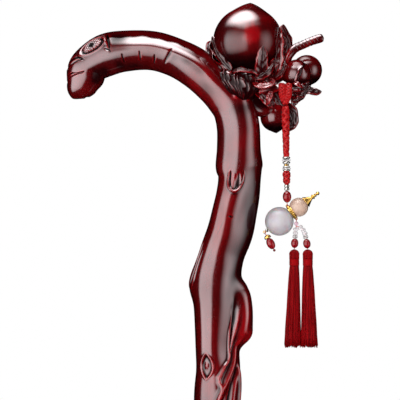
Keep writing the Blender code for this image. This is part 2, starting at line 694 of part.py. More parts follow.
def cord_hitch(look, parent):
    """The end of the braid looped over the bar twice and drawn together below it."""
    ring = BAR_RADIUS + HITCH_BAR_GAP + HITCH_CORD_RADIUS
    loops = [
        torus(name, ring, HITCH_CORD_RADIUS, look, parent, (side * HITCH_SPREAD, 0, 0),
              (0, math.radians(90.0 + side * HITCH_SPLAY), 0), 14, 6)
        for name, side in (("left_loop", -1), ("right_loop", 1))
    ]
    top = -(BAR_RADIUS + HITCH_BAR_GAP) - 0.0008
    stations = (
        (top, 0.0026, 0.0012),
        (top - 0.0010, 0.0033, 0.0018),
        (top - 0.0026, 0.0032, 0.0021),
        (top - 0.0044, 0.0026, 0.0022),
        (-HITCH_DROP, HITCH_END_RADIUS, HITCH_END_RADIUS),
        (-HITCH_DROP - HITCH_END_RADIUS * 0.5, HITCH_END_RADIUS * 0.866, HITCH_END_RADIUS * 0.866),
        (-HITCH_DROP - HITCH_END_RADIUS * 0.866, HITCH_END_RADIUS * 0.5, HITCH_END_RADIUS * 0.5),
        (-HITCH_DROP - HITCH_END_RADIUS, HITCH_END_RADIUS * 0.1, HITCH_END_RADIUS * 0.1),
    )
    rings = [
        [
            (half * math.cos(turn), depth * math.sin(turn), z)
            for turn in (math.tau * i / 12 for i in range(12))
        ]
        for z, half, depth in stations
    ]
    gather = solid("gather", lofted(rings), look, parent)
    return fuse("cord_hitch", gather, loops, look)


def braided_cord(look, parent, top, bottom):
    """The free braid, a little thinner at its lower end."""
    curve = bpy.data.curves.new("braided_cord", "CURVE")
    curve.dimensions = "3D"
    curve.bevel_depth = BRAID_TOP_RADIUS
    curve.bevel_resolution = 3
    curve.use_fill_caps = True
    spline = curve.splines.new("POLY")
    spline.points.add(BRAID_POINTS - 1)
    for i, point in enumerate(spline.points):
        t = i / (BRAID_POINTS - 1)
        point.co = (0.0, 0.0, top + (bottom - top) * t, 1.0)
        point.radius = 1.0 + (BRAID_END_RADIUS / BRAID_TOP_RADIUS - 1.0) * fade_in(t, 0.3, 0.7)
    curve.materials.append(look)
    made = bpy.data.objects.new("braided_cord", curve)
    bpy.context.scene.collection.objects.link(made)
    made.parent = parent
    return made


def cord_knot(look, parent, location):
    """Two lobes of knotted cord, one above the other."""
    half = KNOT_HEIGHT / 2
    profile = [
        (BORE_RADIUS, -half),
        (KNOT_RADIUS * 0.35, -half * 0.97),
        (KNOT_RADIUS * 0.75, -half * 0.80),
        (KNOT_RADIUS * 0.92, -half * 0.52),
        (KNOT_RADIUS * 0.72, -half * 0.20),
        (KNOT_RADIUS * 0.66, -half * 0.05),
        (KNOT_RADIUS * 0.86, half * 0.15),
        (KNOT_RADIUS, half * 0.45),
        (KNOT_RADIUS * 0.86, half * 0.78),
        (KNOT_RADIUS * 0.50, half * 0.97),
        (BORE_RADIUS, half),
    ]
    return solid("cord_knot", turned(profile, 12), look, parent, location)


def bead_chain(looks, parent):
    """The braid and the beads strung below it. Returns how far under the sway axis the loop hangs."""
    top = -HITCH_END_RADIUS - SEAT_GAP
    bottom = top - BRAID_LENGTH
    braided_cord(looks["cord"], parent, top, bottom)
    level = bottom - SEAT_GAP
    thread_top = level

    def seat(height):
        nonlocal level
        middle = level - height / 2
        level -= height + SEAT_GAP
        return (0.0, 0.0, middle)

    rondelle("upper_rondelle", UPPER_RONDELLE_RADIUS, UPPER_RONDELLE_HEIGHT, looks["silver"], parent,
             seat(UPPER_RONDELLE_HEIGHT))
    spacer("gold_spacer", GOLD_SPACER_RADIUS, GOLD_SPACER_HEIGHT, looks["gold"], parent,
           seat(GOLD_SPACER_HEIGHT))
    rondelle("lower_rondelle", LOWER_RONDELLE_RADIUS, LOWER_RONDELLE_HEIGHT, looks["silver"], parent,
             seat(LOWER_RONDELLE_HEIGHT))
    cord_knot(looks["cord"], parent, seat(KNOT_HEIGHT))
    spacer("silver_spacer", SILVER_SPACER_RADIUS, SILVER_SPACER_HEIGHT, looks["silver"], parent,
           seat(SILVER_SPACER_HEIGHT), None, 2)
    bead("oval_bead", OVAL_BEAD_RADIUS, OVAL_BEAD_HEIGHT, looks["red"], parent, seat(OVAL_BEAD_HEIGHT))
    loop_middle = level - LOOP_NECK - LOOP_RADIUS
    thread = rod("chain_rod", [(0, 0, thread_top), (0, 0, level), (0, 0, loop_middle + LOOP_RADIUS)],
                 THREAD_RADIUS, looks["cord"], parent)
    loop = torus("chain_loop", LOOP_RADIUS, THREAD_RADIUS, looks["cord"], parent, (0, 0, loop_middle),
                 (0, math.pi / 2, 0))
    fuse("bead_thread", thread, [loop], looks["cord"])
    return LOOP_RADIUS - loop_middle


# Places along the gourd's axis, from the waist ring's middle
JADE_HALF = math.sqrt(JADE_RADIUS**2 - JADE_FLAT_RADIUS**2)
JADE_POLE = math.sqrt(JADE_RADIUS**2 - JADE_POLE_RADIUS**2)
BULB_HALF = math.sqrt(BULB_RADIUS**2 - BULB_FLAT_RADIUS**2)
JADE_PLACE = -(WAIST_WEB / 2 + SEAT_GAP + JADE_HALF)
BULB_PLACE = WAIST_WEB / 2 + SEAT_GAP + BULB_HALF
PIN_BORE_RADIUS = PIN_RADIUS + BORE_GAP
EYE_REACH = WAIST_RIM_RADIUS + EYE_WIRE_RADIUS + 0.0002


def bored_ball(name, radius, low_flat, high_flat, look, parent, location, segments, rings):
    """A round bead with a flat of the given radius at each end of its bore."""
    low = -math.acos(low_flat / radius)
    high = math.acos(high_flat / radius)
    profile = [(PIN_BORE_RADIUS, radius * math.sin(low))]
    for i in range(rings + 1):
        turn = low + (high - low) * i / rings
        profile.append((radius * math.cos(turn), radius * math.sin(turn)))
    profile.append((PIN_BORE_RADIUS, radius * math.sin(high)))
    return solid(name, turned(profile, segments), look, parent, location)


def waist_ring(look, parent, location):
    """The thin web between the two beads, its thick rim, and an eye at each side."""
    half, web = WAIST_RIM_THICKNESS / 2, WAIST_WEB / 2
    shoulder = WAIST_RIM_RADIUS * 0.66
    profile = [
        (PIN_BORE_RADIUS, -web),
        (shoulder * 0.8, -web),
        (shoulder, -half * 0.45),
        (WAIST_RIM_RADIUS * 0.92, -half),
        (WAIST_RIM_RADIUS, -half * 0.5),
        (WAIST_RIM_RADIUS, half * 0.5),
        (WAIST_RIM_RADIUS * 0.92, half),
        (shoulder, half * 0.45),
        (shoulder * 0.8, web),
        (PIN_BORE_RADIUS, web),
    ]
    ring = solid("ring", turned(profile, 20), look, parent, location)
    middle = Vector(location)
    eyes = [
        torus(name, EYE_RADIUS, EYE_WIRE_RADIUS, look, parent,
              middle + Vector((side * EYE_REACH, 0, EYE_OFFSET)),
              (math.pi / 2, 0, 0), 10, 5)
        for name, side in (("upper_eye", -1), ("lower_eye", 1))
    ]
    return fuse("waist_ring", ring, eyes, look)


def cone_profile(base):
    """The cone cap's section from its rim, seated on the bulb, to the end of its ringed stem."""
    seat = BULB_RADIUS + SEAT_GAP
    cup = [
        (seat * math.sin(turn), BULB_PLACE + seat * math.cos(turn))
        for turn in np.linspace(
            math.asin(PIN_BORE_RADIUS / seat), math.asin((CONE_RIM_RADIUS - CONE_WALL) / seat), 5
        )
    ]
    rim = cup[-1][1]
    neck = rim + CONE_LENGTH
    flare = [
        (STEM_RADIUS + (CONE_RIM_RADIUS - STEM_RADIUS) * (1 - t) ** 1.7, rim + CONE_LENGTH * t)
        for t in (0.0, 0.12, 0.3, 0.5, 0.75, 1.0)
    ]
    stem = [
        (STEM_RADIUS, neck + STEM_LENGTH * 0.15),
        (STEM_RADIUS * 1.6, neck + STEM_LENGTH * 0.25),
        (STEM_RADIUS * 1.6, neck + STEM_LENGTH * 0.38),
        (STEM_RADIUS, neck + STEM_LENGTH * 0.5),
        (STEM_RADIUS, neck + STEM_LENGTH),
        (PIN_BORE_RADIUS, neck + STEM_LENGTH),
    ]
    section = cup + flare + stem
    return [(radius, height - base) for radius, height in section], neck + STEM_LENGTH


def gourd_pin(look, parent, location, low, high):
    """The pin through the gourd, with its tip bead above and its eye below."""
    x, y, z = location
    line = [(x, y, z + low + EYE_RADIUS), (x, y, z), (x, y, z + high + TIP_RADIUS)]
    shank = rod("shank", line, PIN_RADIUS, look, parent)
    tip = ball("tip", TIP_RADIUS, look, parent, (x, y, z + high + SEAT_GAP + TIP_RADIUS), 10, 7)
    eye = torus("eye", EYE_RADIUS, EYE_WIRE_RADIUS, look, parent, (x, y, z + low), (math.pi / 2, 0, 0))
    return fuse("gourd_pin", shank, [tip, eye], look)


def gourd(looks, parent):
    """Both beads, the waist ring, the cone cap and the pin, hung at the ring's upper eye."""
    ring = Vector((EYE_REACH, 0.0, -EYE_OFFSET))
    waist_ring(looks["gold"], parent, ring)
    jade = axis("jade_bead_axis", parent, ring + Vector((0, 0, JADE_PLACE)))
    bored_ball("jade_bead", JADE_RADIUS, JADE_POLE_RADIUS, JADE_FLAT_RADIUS, looks["jade"], jade,
               (0, 0, 0), 22, 8)
    bulb = axis("wood_bead_axis", parent, ring + Vector((0, 0, BULB_PLACE)))
    bored_ball("wood_bead", BULB_RADIUS, BULB_FLAT_RADIUS, BULB_FLAT_RADIUS, looks["bulb"], bulb,
               (0, 0, 0), 18, 6)
    profile, cone_end = cone_profile(0.0)
    solid("cone_cap", turned(profile, 14), looks["gold"], parent, ring)
    spacer_place = JADE_PLACE - JADE_POLE - SEAT_GAP - PIN_SPACER_HEIGHT / 2
    spacer("pin_spacer", PIN_SPACER_RADIUS, PIN_SPACER_HEIGHT, looks["silver"], parent,
           ring + Vector((0, 0, spacer_place)), PIN_BORE_RADIUS)
    eye_place = spacer_place - PIN_SPACER_HEIGHT / 2 - SEAT_GAP - EYE_WIRE_RADIUS - EYE_RADIUS
    gourd_pin(looks["gold"], parent, ring, eye_place, cone_end)
    return ring, eye_place


def tail(looks, parent):
    """The cap and red bead hung under the jade bead."""
    top = -2 * LOOP_RADIUS - THREAD_RADIUS
    cap_middle = top - SEAT_GAP - TAIL_CAP_HEIGHT / 2
    half = TAIL_CAP_HEIGHT / 2
    profile = [
        (BORE_RADIUS, -half * 0.2),
        (TAIL_CAP_RADIUS * 0.55, -half * 0.5),
        (TAIL_CAP_RADIUS * 0.85, -half),
        (TAIL_CAP_RADIUS, -half * 0.8),
        (TAIL_CAP_RADIUS * 0.92, half * 0.1),
        (TAIL_CAP_RADIUS * 0.6, half * 0.7),
        (TAIL_CAP_RADIUS * 0.35, half),
        (BORE_RADIUS, half),
    ]
    solid("tail_cap", turned(profile, 12), looks["gold"], parent, (0, 0, cap_middle))
    bead_middle = cap_middle - half - SEAT_GAP - TAIL_BEAD_HEIGHT / 2
    bead("tail_bead", TAIL_BEAD_RADIUS, TAIL_BEAD_HEIGHT, looks["red"], parent, (0, 0, bead_middle))
    end = bead_middle - TAIL_BEAD_HEIGHT / 2 - SEAT_GAP - TAIL_KNOT_RADIUS
    line = [(0, 0, -2 * LOOP_RADIUS), (0, 0, bead_middle), (0, 0, end)]
    thread = rod("tail_rod", line, THREAD_RADIUS, looks["cord"], parent)
    loop = torus("tail_loop", LOOP_RADIUS, THREAD_RADIUS, looks["cord"], parent, (0, 0, -LOOP_RADIUS),
                 (0, math.pi / 2, 0))
    knot = ball("tail_knot", TAIL_KNOT_RADIUS, looks["cord"], parent, (0, 0, end))
    fuse("tail_thread", thread, [loop, knot], looks["cord"])


def along_leg(path, length):
    """The place and turn about Y of a bead at a length along a leg in the XZ plane."""
    before, here, after = at_lengths(path, [length - 0.0002, length, length + 0.0002])
    run = Vector(after) - Vector(before)
    return Vector(here), (0.0, math.atan2(run.x, run.z) + math.pi, 0.0)


def tassel(side, looks, parent, lean):
    """A head wound with thread and the skirt of yarn below it, hung at the thread's end."""
    half = TASSEL_HEAD_HEIGHT
    dome = TASSEL_HEAD_RADIUS
    profile = [(0.0, -SEAT_GAP)]
    profile += [(dome * math.sin(turn), -SEAT_GAP - dome * (1 - math.cos(turn)))
                for turn in (math.radians(22), math.radians(45), math.radians(68), math.radians(88))]
    neck_top = -SEAT_GAP - half * 0.62
    bands = 3
    for i in range(bands):
        low = neck_top - i * half * 0.1
        profile += [(TASSEL_NECK_RADIUS, low), (TASSEL_NECK_RADIUS * 1.06, low - half * 0.05)]
    bottom = -SEAT_GAP - half
    profile += [(TASSEL_NECK_RADIUS, bottom + half * 0.04), (TASSEL_NECK_RADIUS, bottom), (0.0, bottom)]
    solid(f"{side}_tassel_head", turned(profile, 12), looks["silk"], parent)
    top = bottom - SEAT_GAP
    rings = []
    sides = SKIRT_FLUTES * 3
    for t in (0.0, 0.06, 0.2, 0.5, 0.8, 1.0):
        radius = SKIRT_TOP_RADIUS + (SKIRT_END_RADIUS - SKIRT_TOP_RADIUS) * t**0.7
        flute = SKIRT_FLUTE_DEPTH * min(1.0, t * 5.0)
        rings.append(
            [
                (r * math.cos(turn), r * math.sin(turn), -SKIRT_LENGTH * t)
                for turn, r in (
                    (math.tau * i / sides, radius - (flute if i % 3 == 0 else 0.0)) for i in range(sides)
                )
            ]
        )
    solid(f"{side}_tassel_skirt", lofted(rings), looks["silk"], parent, (0, 0, top),
          (0, math.radians(lean), 0))


def strands(looks, parent):
    """The pink bead, the forked thread and the two strings of beads. Returns the legs' ends."""
    loop_end = -2 * LOOP_RADIUS - THREAD_RADIUS
    pink_middle = loop_end - SEAT_GAP - PINK_BEAD_HEIGHT / 2
    bead("pink_bead", PINK_BEAD_RADIUS, PINK_BEAD_HEIGHT, looks["pink"], parent, (0, 0, pink_middle),
         (0, 0, 0), 10, 5)
    fork = Vector((0, 0, pink_middle - PINK_BEAD_HEIGHT / 2 - 0.0004))
    line = [(0, 0, -2 * LOOP_RADIUS), (0, 0, pink_middle), fork]
    stem = rod("stem", line, THREAD_RADIUS, looks["cord"], parent)
    loop = torus("strand_loop", LOOP_RADIUS, THREAD_RADIUS, looks["cord"], parent, (0, 0, -LOOP_RADIUS),
                 (0, math.pi / 2, 0))
    knot = ball("fork_knot", FORK_KNOT_RADIUS, looks["cord"], parent, fork)
    left_end = fork + Vector((LEFT_LEG_END[0], 0, LEFT_LEG_END[1]))
    right_end = fork + Vector((RIGHT_LEG_END[0], 0, RIGHT_LEG_END[1]))
    legs = {
        "left": smooth_rows([fork, fork.lerp(left_end, 0.3) + Vector((-0.0002, 0, 0)), left_end], 6),
        "right": smooth_rows(
            [fork, fork + Vector((0.0032, 0, -0.0010)), fork + Vector((0.0056, 0, -0.0040)),
             right_end + Vector((-0.0012, 0, 0.0070)), right_end], 4,
        ),
    }
    parts = [loop, knot]
    for side, count, start in (("left", 2, LEFT_LEG_START), ("right", 3, RIGHT_LEG_START)):
        path = legs[side]
        visible = at_lengths(path, np.linspace(FORK_KNOT_RADIUS * 0.6, path_length(path), LEG_STATIONS))
        parts.append(rod(f"{side}_leg", visible.tolist(), THREAD_RADIUS, looks["cord"], parent, 6))
        length = start
        for i in range(count):
            place, turn = along_leg(path, length + CRYSTAL_HEIGHT / 2)
            bead(f"{side}_crystal_{i + 1}", CRYSTAL_RADIUS, CRYSTAL_HEIGHT, looks["crystal"], parent,
                 place, turn, 10, 4)
            length += CRYSTAL_HEIGHT + SEAT_GAP
        place, turn = along_leg(path, length + STRAND_RONDELLE_HEIGHT / 2)
        rondelle(f"{side}_rondelle", STRAND_RONDELLE_RADIUS, STRAND_RONDELLE_HEIGHT, looks["silver"],
                 parent, place, turn, 10)
        length += STRAND_RONDELLE_HEIGHT + SEAT_GAP
        place, turn = along_leg(path, length + STRAND_BEAD_HEIGHT / 2)
        bead(f"{side}_bead", STRAND_BEAD_RADIUS, STRAND_BEAD_HEIGHT, looks["red"], parent, place, turn)
    fuse("strand_thread", stem, parts, looks["cord"])
    return left_end, right_end


def charm(looks):
    """Everything that hangs from the bar, each moving piece on the empty of its joint."""
    swing = axis("charm_swing_axis", None, BAR_CENTRE, -CHARM_LEAN)
    cord_hitch(looks["cord"], swing)
    sway = axis("charm_sway_axis", swing, (0, 0, -HITCH_DROP))
    drop = bead_chain(looks, sway)
    tilt = axis("gourd_tilt_axis", sway, (0, 0, -drop), GOURD_LEAN + CHARM_LEAN)
    ring, pin_eye = gourd(looks, tilt)
    tail_axis = axis("tail_swing_axis", tilt, ring + Vector((0, 0, pin_eye)), TAIL_LEAN - GOURD_LEAN)
    tail(looks, tail_axis)
    strand_axis = axis("strand_sway_axis", tilt, (2 * EYE_REACH, 0, 0), -GOURD_LEAN)
    left_end, right_end = strands(looks, strand_axis)
    for side, end, lean in (("left", left_end, LEFT_TASSEL_LEAN), ("right", right_end, RIGHT_TASSEL_LEAN)):
        tassel(side, looks, axis(f"{side}_tassel_axis", strand_axis, end), lean)


def main():
    for old in list(bpy.data.objects):
        bpy.data.objects.remove(old, do_unlink=True)
    looks = {
        "wood": material("lacquered_wood", (0.085, 0.004, 0.008), 0.18),
        "rubber": material("rubber", (0.012, 0.012, 0.012), 0.8),
        "steel": material("steel", (0.6, 0.6, 0.62), 0.35, 1.0),
        "cord": material("red_cord", (0.45, 0.008, 0.012), 0.65),
        "silk": material("red_silk", (0.42, 0.006, 0.010), 0.55),
        "red": material("red_bead", (0.30, 0.004, 0.010), 0.12),
        "silver": material("silver", (0.75, 0.74, 0.72), 0.2, 1.0),
        "gold": material("gold", (0.80, 0.50, 0.14), 0.2, 1.0),
        "jade": material("white_jade", (0.66, 0.64, 0.66), 0.3),
        "bulb": material("beige_wood", (0.68, 0.46, 0.34), 0.5),
        "pink": material("pink_bead", (0.80, 0.52, 0.66), 0.15, 0.0, 0.4),
        "crystal": material("crystal", (0.9, 0.9, 0.92), 0.08, 0.0, 0.8),
    }
    carved_cane(looks["wood"])
    rubber_ferrule(looks["rubber"])
    ferrule_washer(looks["steel"])
    charm(looks)


main()
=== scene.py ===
"""Looks and fine forms of the carved walking cane and its bead charm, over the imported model.

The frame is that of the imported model, +Z up. Tables and forms are in millimetres and degrees, and piece()
turns them to metres. The tables of the upper limb and of the head are measured from HEAD.
"""

import json
import math

import bpy
import numpy as np
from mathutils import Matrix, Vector


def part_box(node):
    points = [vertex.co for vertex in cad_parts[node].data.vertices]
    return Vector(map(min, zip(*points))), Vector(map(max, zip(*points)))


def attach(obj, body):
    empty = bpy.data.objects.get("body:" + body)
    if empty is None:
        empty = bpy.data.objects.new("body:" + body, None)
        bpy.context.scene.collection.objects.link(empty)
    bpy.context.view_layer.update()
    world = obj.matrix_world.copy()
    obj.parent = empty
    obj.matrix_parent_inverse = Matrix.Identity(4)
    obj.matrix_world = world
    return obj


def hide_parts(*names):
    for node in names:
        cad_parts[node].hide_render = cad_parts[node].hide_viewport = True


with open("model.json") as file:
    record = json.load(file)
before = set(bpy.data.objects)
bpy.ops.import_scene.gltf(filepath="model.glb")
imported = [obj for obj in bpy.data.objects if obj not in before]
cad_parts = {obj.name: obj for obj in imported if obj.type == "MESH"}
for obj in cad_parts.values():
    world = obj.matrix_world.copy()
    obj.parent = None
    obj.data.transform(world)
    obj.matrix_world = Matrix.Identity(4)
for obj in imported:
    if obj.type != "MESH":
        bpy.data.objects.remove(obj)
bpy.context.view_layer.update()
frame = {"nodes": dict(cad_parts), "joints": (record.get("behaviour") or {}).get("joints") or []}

MM = 0.001
HEAD = np.array((0.0, 0.0, 835.0))
# The attribute of painted shade and light on the carving, and of random tone on cord and yarn; and that of
# lost gloss
PAINTED_SHADE_AND_TONE = "shade"
DULL = "dull"

# The limb's centre line: x, y, z, half width in the handle's plane, half depth. From the floor up
LOWER_LIMB = (
    (0, 0, 9.8, 9.8, 9.8), (0, 0, 42, 9.8, 9.8), (1, 0, 110, 11.2, 11), (3, 1.5, 180, 12, 11.6),
    (1, 2.5, 240, 12.1, 12.6), (-2.8, 1, 300, 12.7, 12.3), (-4, -2, 355, 13.9, 13.4),
    (-1.5, -3, 420, 13.4, 13.8),
)
# The same, measured from HEAD, from the middle of the shaft up and along the handle to its nose
UPPER_LIMB = (
    (3.5, -1, -350, 13.8, 13.8), (5.5, 1, -300, 15, 14.6), (2, 1.5, -250, 15, 15),
    (1.2, 0, -213, 16.2, 15.8), (2.1, 0, -192, 15.6, 15.2), (1.8, 0, -178, 15.3, 15),
    (1.9, 0, -163, 15.8, 15.5), (1.6, 0, -147, 16.4, 16), (1, 0, -135, 17, 16.4), (1.6, 0, -124, 16.6, 16),
    (4.9, 0, -110, 15.8, 15.5), (10.4, 0, -95, 16, 15.5), (13.8, 0, -81, 15.6, 15.2),
    (16.2, 0, -69, 15.2, 15), (17.3, 0, -57, 14.9, 14.8), (16.8, 0, -49, 16.2, 15.6),
    (16.6, 0, -37, 15.3, 15), (16.2, 0, -22, 14.9, 14.8), (13.5, 0, -10, 14.8, 14.6), (7, 0, -1, 14, 14.2),
    (-2, 0, 8, 13, 13.8), (-13.5, 0.8, 19.2, 14.1, 13.8), (-28.1, 2.4, 27.2, 13.6, 13.4),
    (-44.7, 4.5, 32.1, 13.9, 13.6), (-63.7, 6.9, 32, 14.6, 13.8), (-77, 8.5, 29, 15, 13.9),
    (-88.5, 9.8, 21.7, 13.6, 13.2), (-91.2, 10.1, 14, 13.6, 12.4), (-93.3, 10.2, 8, 11.3, 11),
    (-94.6, 10.3, 3.6, 9.6, 9.4), (-95.1, 10.3, 0.2, 7, 6.9), (-95, 10.3, -1.5, 3.4, 3.4),
)


# Meshes


def smooth_rows(rows, steps):
    """Rows of numbers read from the smooth curve through the given rows."""
    rows = np.array(rows, float)
    padded = np.vstack([2 * rows[0] - rows[1], rows, 2 * rows[-1] - rows[-2]])
    a, b, c, d = (padded[i : len(rows) - 1 + i, None] for i in range(4))
    t = (np.arange(steps) / steps)[None, :, None]
    found = 0.5 * (2 * b + (c - a) * t + (2 * a - 5 * b + 4 * c - d) * t**2 + (3 * b - a - 3 * c + d) * t**3)
    return np.vstack([found.reshape(-1, rows.shape[1]), rows[-1]])


def travelled(rows):
    """How far along the path of their first three numbers the rows are."""
    steps = np.linalg.norm(np.diff(rows[:, :3], axis=0), axis=1)
    return np.concatenate([[0.0], np.cumsum(steps)])


def at_lengths(rows, lengths):
    run = travelled(rows)
    return np.column_stack([np.interp(lengths, run, column) for column in rows.T])


def spread(rows, count):
    """A number of rows at even steps along the path."""
    return at_lengths(rows, np.linspace(0.0, travelled(rows)[-1], count))


def unit(rows):
    rows = np.asarray(rows, float)
    return rows / np.maximum(np.linalg.norm(rows, axis=-1, keepdims=True), 1e-12)


def full_turn(count):
    return math.tau * np.arange(count) / count


def circle(turns, side, other):
    """Points of the unit circle in the plane of two directions."""
    return np.cos(turns)[..., None] * side + np.sin(turns)[..., None] * other


def directions(axis, near=(0.0, 1.0, 0.0)):
    """An axis at length 1, and two directions across it."""
    axis = unit(axis)
    side = unit(np.cross(axis, near))
    return axis, side, np.cross(axis, side)


def untwisted(path):
    """Two directions across a path at each of its points, with no twist from point to point."""
    tangents = unit(np.gradient(path, axis=0))
    side = np.cross(tangents[0], (0.0, 1.0, 0.0))
    if np.linalg.norm(side) < 0.1:
        side = np.cross(tangents[0], (1.0, 0.0, 0.0))
    sides = []
    for tangent in tangents:
        side = unit(side - tangent * np.dot(side, tangent))
        sides.append(side)
    return np.array(sides), np.cross(tangents, sides)


def grid_faces(rows, columns, start=0):
    """Faces of a grid of points laid row by row and closed round its columns."""
    low, j = np.meshgrid(np.arange(rows - 1) * columns, np.arange(columns), indexing="ij")
    k, high = (j + 1) % columns, low + columns
    corners = np.stack([low + j, low + k, high + k, high + j], axis=-1)
    return (corners.reshape(-1, 4) + start).tolist()


def capped_faces(rows, columns, start=0):
    """The same with a face over its first row and one over its last."""
    last = start + (rows - 1) * columns
    ends = [list(range(start + columns - 1, start - 1, -1)), list(range(last, last + columns))]
    return grid_faces(rows, columns, start) + ends


def ring_faces(rows, columns, start=0):
    """The same with its last row joined to its first."""
    return [[corner % (rows * columns) + start for corner in face] for face in grid_faces(rows + 1, columns)]


def piece(name, grids, look, close=capped_faces, shade=None, dull=None, smooth=True):
    """A mesh object of grids of points in mm, each with the faces that close gives it.

    shade is how bright and clear the colour is at each point: on the carving it is painted shade, from 0 in
    a hollow to 1 on a ridge, and on cord and yarn a tone that differs at random from strand to strand. dull
    is how much of the gloss is gone there.
    """
    points, faces = [], []
    for grid in grids:
        faces += close(*grid.shape[:2], len(points))
        points += (grid.reshape(-1, 3) * MM).tolist()
    mesh = bpy.data.meshes.new(name)
    mesh.from_pydata(points, [], faces)
    mesh.validate()
    if smooth:
        mesh.shade_smooth()
    for attribute, values in ((PAINTED_SHADE_AND_TONE, shade), (DULL, dull)):
        if values is not None:
            field = mesh.attributes.new(attribute, "FLOAT", "POINT")
            field.data.foreach_set("value", np.float32(np.ravel(values) * np.ones(len(points))))
    mesh.materials.append(look)
    made = bpy.data.objects.new(name, mesh)
    bpy.context.scene.collection.objects.link(made)
    return made


def tube_grid(path, radii, sides):
    """Points of rings round a path."""
    across = circle(full_turn(sides), *(rows[:, None] for rows in untwisted(path)))
    return path[:, None] + np.broadcast_to(radii, len(path))[:, None, None] * across


def tubes(name, paths, radius, look, sides=8, shades=1.0):
    """One mesh of round closed tubes along several paths."""
    grids = [tube_grid(np.asarray(path, float), radius, sides) for path in paths]
    shades = np.broadcast_to(shades, len(grids))
    return piece(name, grids, look, shade=np.repeat(shades, [grid.shape[0] * sides for grid in grids]))


def turned(name, profile, look, place, up=(0, 0, 1), segments=64, smooth=True, flutes=(0.0, 0)):
    """A solid of revolution of (radius, height) points about an axis through place along up.

    flutes are waves round it: their share of the radius and their number.
    """
    profile = np.array(profile, float)[:, None]
    up, side, other = directions(up)
    turns = full_turn(segments)
    radii = profile[..., 0] * (1.0 + flutes[0] * np.cos(flutes[1] * turns))
    grid = place + radii[..., None] * circle(turns, side, other) + profile[..., 1:] * up
    return piece(name, [grid], look, smooth=smooth)


def wire_rings(
    name, places, axis, radius, wire, look, segments=28, sides=10, near=(0.31, 0.2, 0.93), shade=0.6,
):
    """Closed rings of round wire."""
    axis, side, other = directions(axis, near)
    tilt = full_turn(sides)[:, None]
    out = circle(full_turn(segments)[:, None], side, other)
    ring = out * (radius + wire * np.cos(tilt)) + np.sin(tilt) * wire * axis
    return piece(name, [ring + place for place in places], look, ring_faces, shade)


def ball_rows(radius, first, last, count, half_height=None):
    """Radius and height of points on a ball between two angles from its lower pole."""
    turns = np.linspace(first, last, count)
    return list(zip(radius * np.sin(turns), -(half_height or radius) * np.cos(turns)))


def box_of(node):
    return np.array(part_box(node)) / MM


def centre_of(node):
    return box_of(node).mean(axis=0)


def joint_place(name):
    return np.array(next(joint["pos_m"] for joint in frame["joints"] if joint["name"] == name)) / MM


def dress(body, slot, node, *pieces):
    """The pieces ride on a body and stand for the node, which is hidden. slot is not used."""
    for made in pieces:
        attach(made, body)
        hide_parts(node)
    return list(pieces)


# Materials


class Tree:
    """A node tree with short ways to add nodes. In a name of a socket, _ stands for a space."""

    def __init__(self, owner):
        owner.use_nodes = True
        self.nodes, self.links = owner.node_tree.nodes, owner.node_tree.links

    def feed(self, socket, value):
        if isinstance(value, bpy.types.NodeSocket):
            self.links.new(value, socket)
        else:
            socket.default_value = value

    def fill(self, node, values):
        for key, value in values.items():
            socket = node.inputs.get(key.replace("_", " "))
            if socket is None:
                setattr(node, key, value)
            else:
                self.feed(socket, value)

    def add(self, kind, **values):
        node = self.nodes.new("ShaderNode" + kind)
        self.fill(node, values)
        return node

    def join(self, operation, *sources):
        """Two values joined by a Math node."""
        node = self.add("Math", operation=operation)
        for socket, source in zip(node.inputs, sources):
            self.feed(socket, source)
        return node.outputs[0]

    def mapped(self, source, low, high, start=0.0, stop=1.0, **values):
        """A value that goes from low to high while the source goes from start to stop."""
        ends = {"From_Min": start, "From_Max": stop, "To_Min": low, "To_Max": high}
        return self.add("MapRange", Value=source, **ends, **values).outputs["Result"]


class Look(Tree):
    """A Principled material."""

    def __init__(self, name, colour, roughness, **sockets):
        self.made = bpy.data.materials.new(name)
        super().__init__(self.made)
        self.set(Base_Color=(*colour, 1.0), Roughness=roughness, **sockets)

    def set(self, **sockets):
        self.fill(self.nodes["Principled BSDF"], sockets)

    def attribute(self, name):
        return self.add("Attribute", attribute_name=name).outputs["Fac"]

    def place(self, stretch):
        """The point in the object's own metres, stretched."""
        spot = self.add("TexCoord").outputs["Object"]
        return self.add("Mapping", Scale=stretch, Vector=spot).outputs["Vector"]

    def noise(self, scale, detail=3.0, rough=0.5, stretch=(1, 1, 1)):
        spot = self.place(stretch)
        return self.add("TexNoise", Scale=scale, Detail=detail, Roughness=rough, Vector=spot).outputs["Fac"]

    def ramp(self, source, *stops):
        """Colours along a value: (place, colour) stops."""
        node = self.add("ValToRGB", Fac=source)
        band = node.color_ramp.elements
        while len(band) < len(stops):
            band.new(0.5)
        for element, (spot, colour) in zip(band, stops):
            element.position, element.color = spot, (*colour, 1.0)
        return node.outputs["Color"]

    def bump(self, height, strength, distance, **below):
        node = self.add("Bump", Height=height, Strength=strength, Distance=distance, **below)
        return node.outputs["Normal"]


def clouded_look(name, colour, roughness, cloud, stops, rough, fine, **sockets):
    """A look whose colour and roughness follow one noise, with fine bumps: noise, strength, distance."""
    look = Look(name, colour, roughness, **sockets)
    source = look.noise(*cloud)
    look.set(Base_Color=look.ramp(source, *stops), Roughness=look.mapped(source, *rough))
    look.set(Normal=look.bump(look.noise(*fine[0]), *fine[1:]))
    return look.made


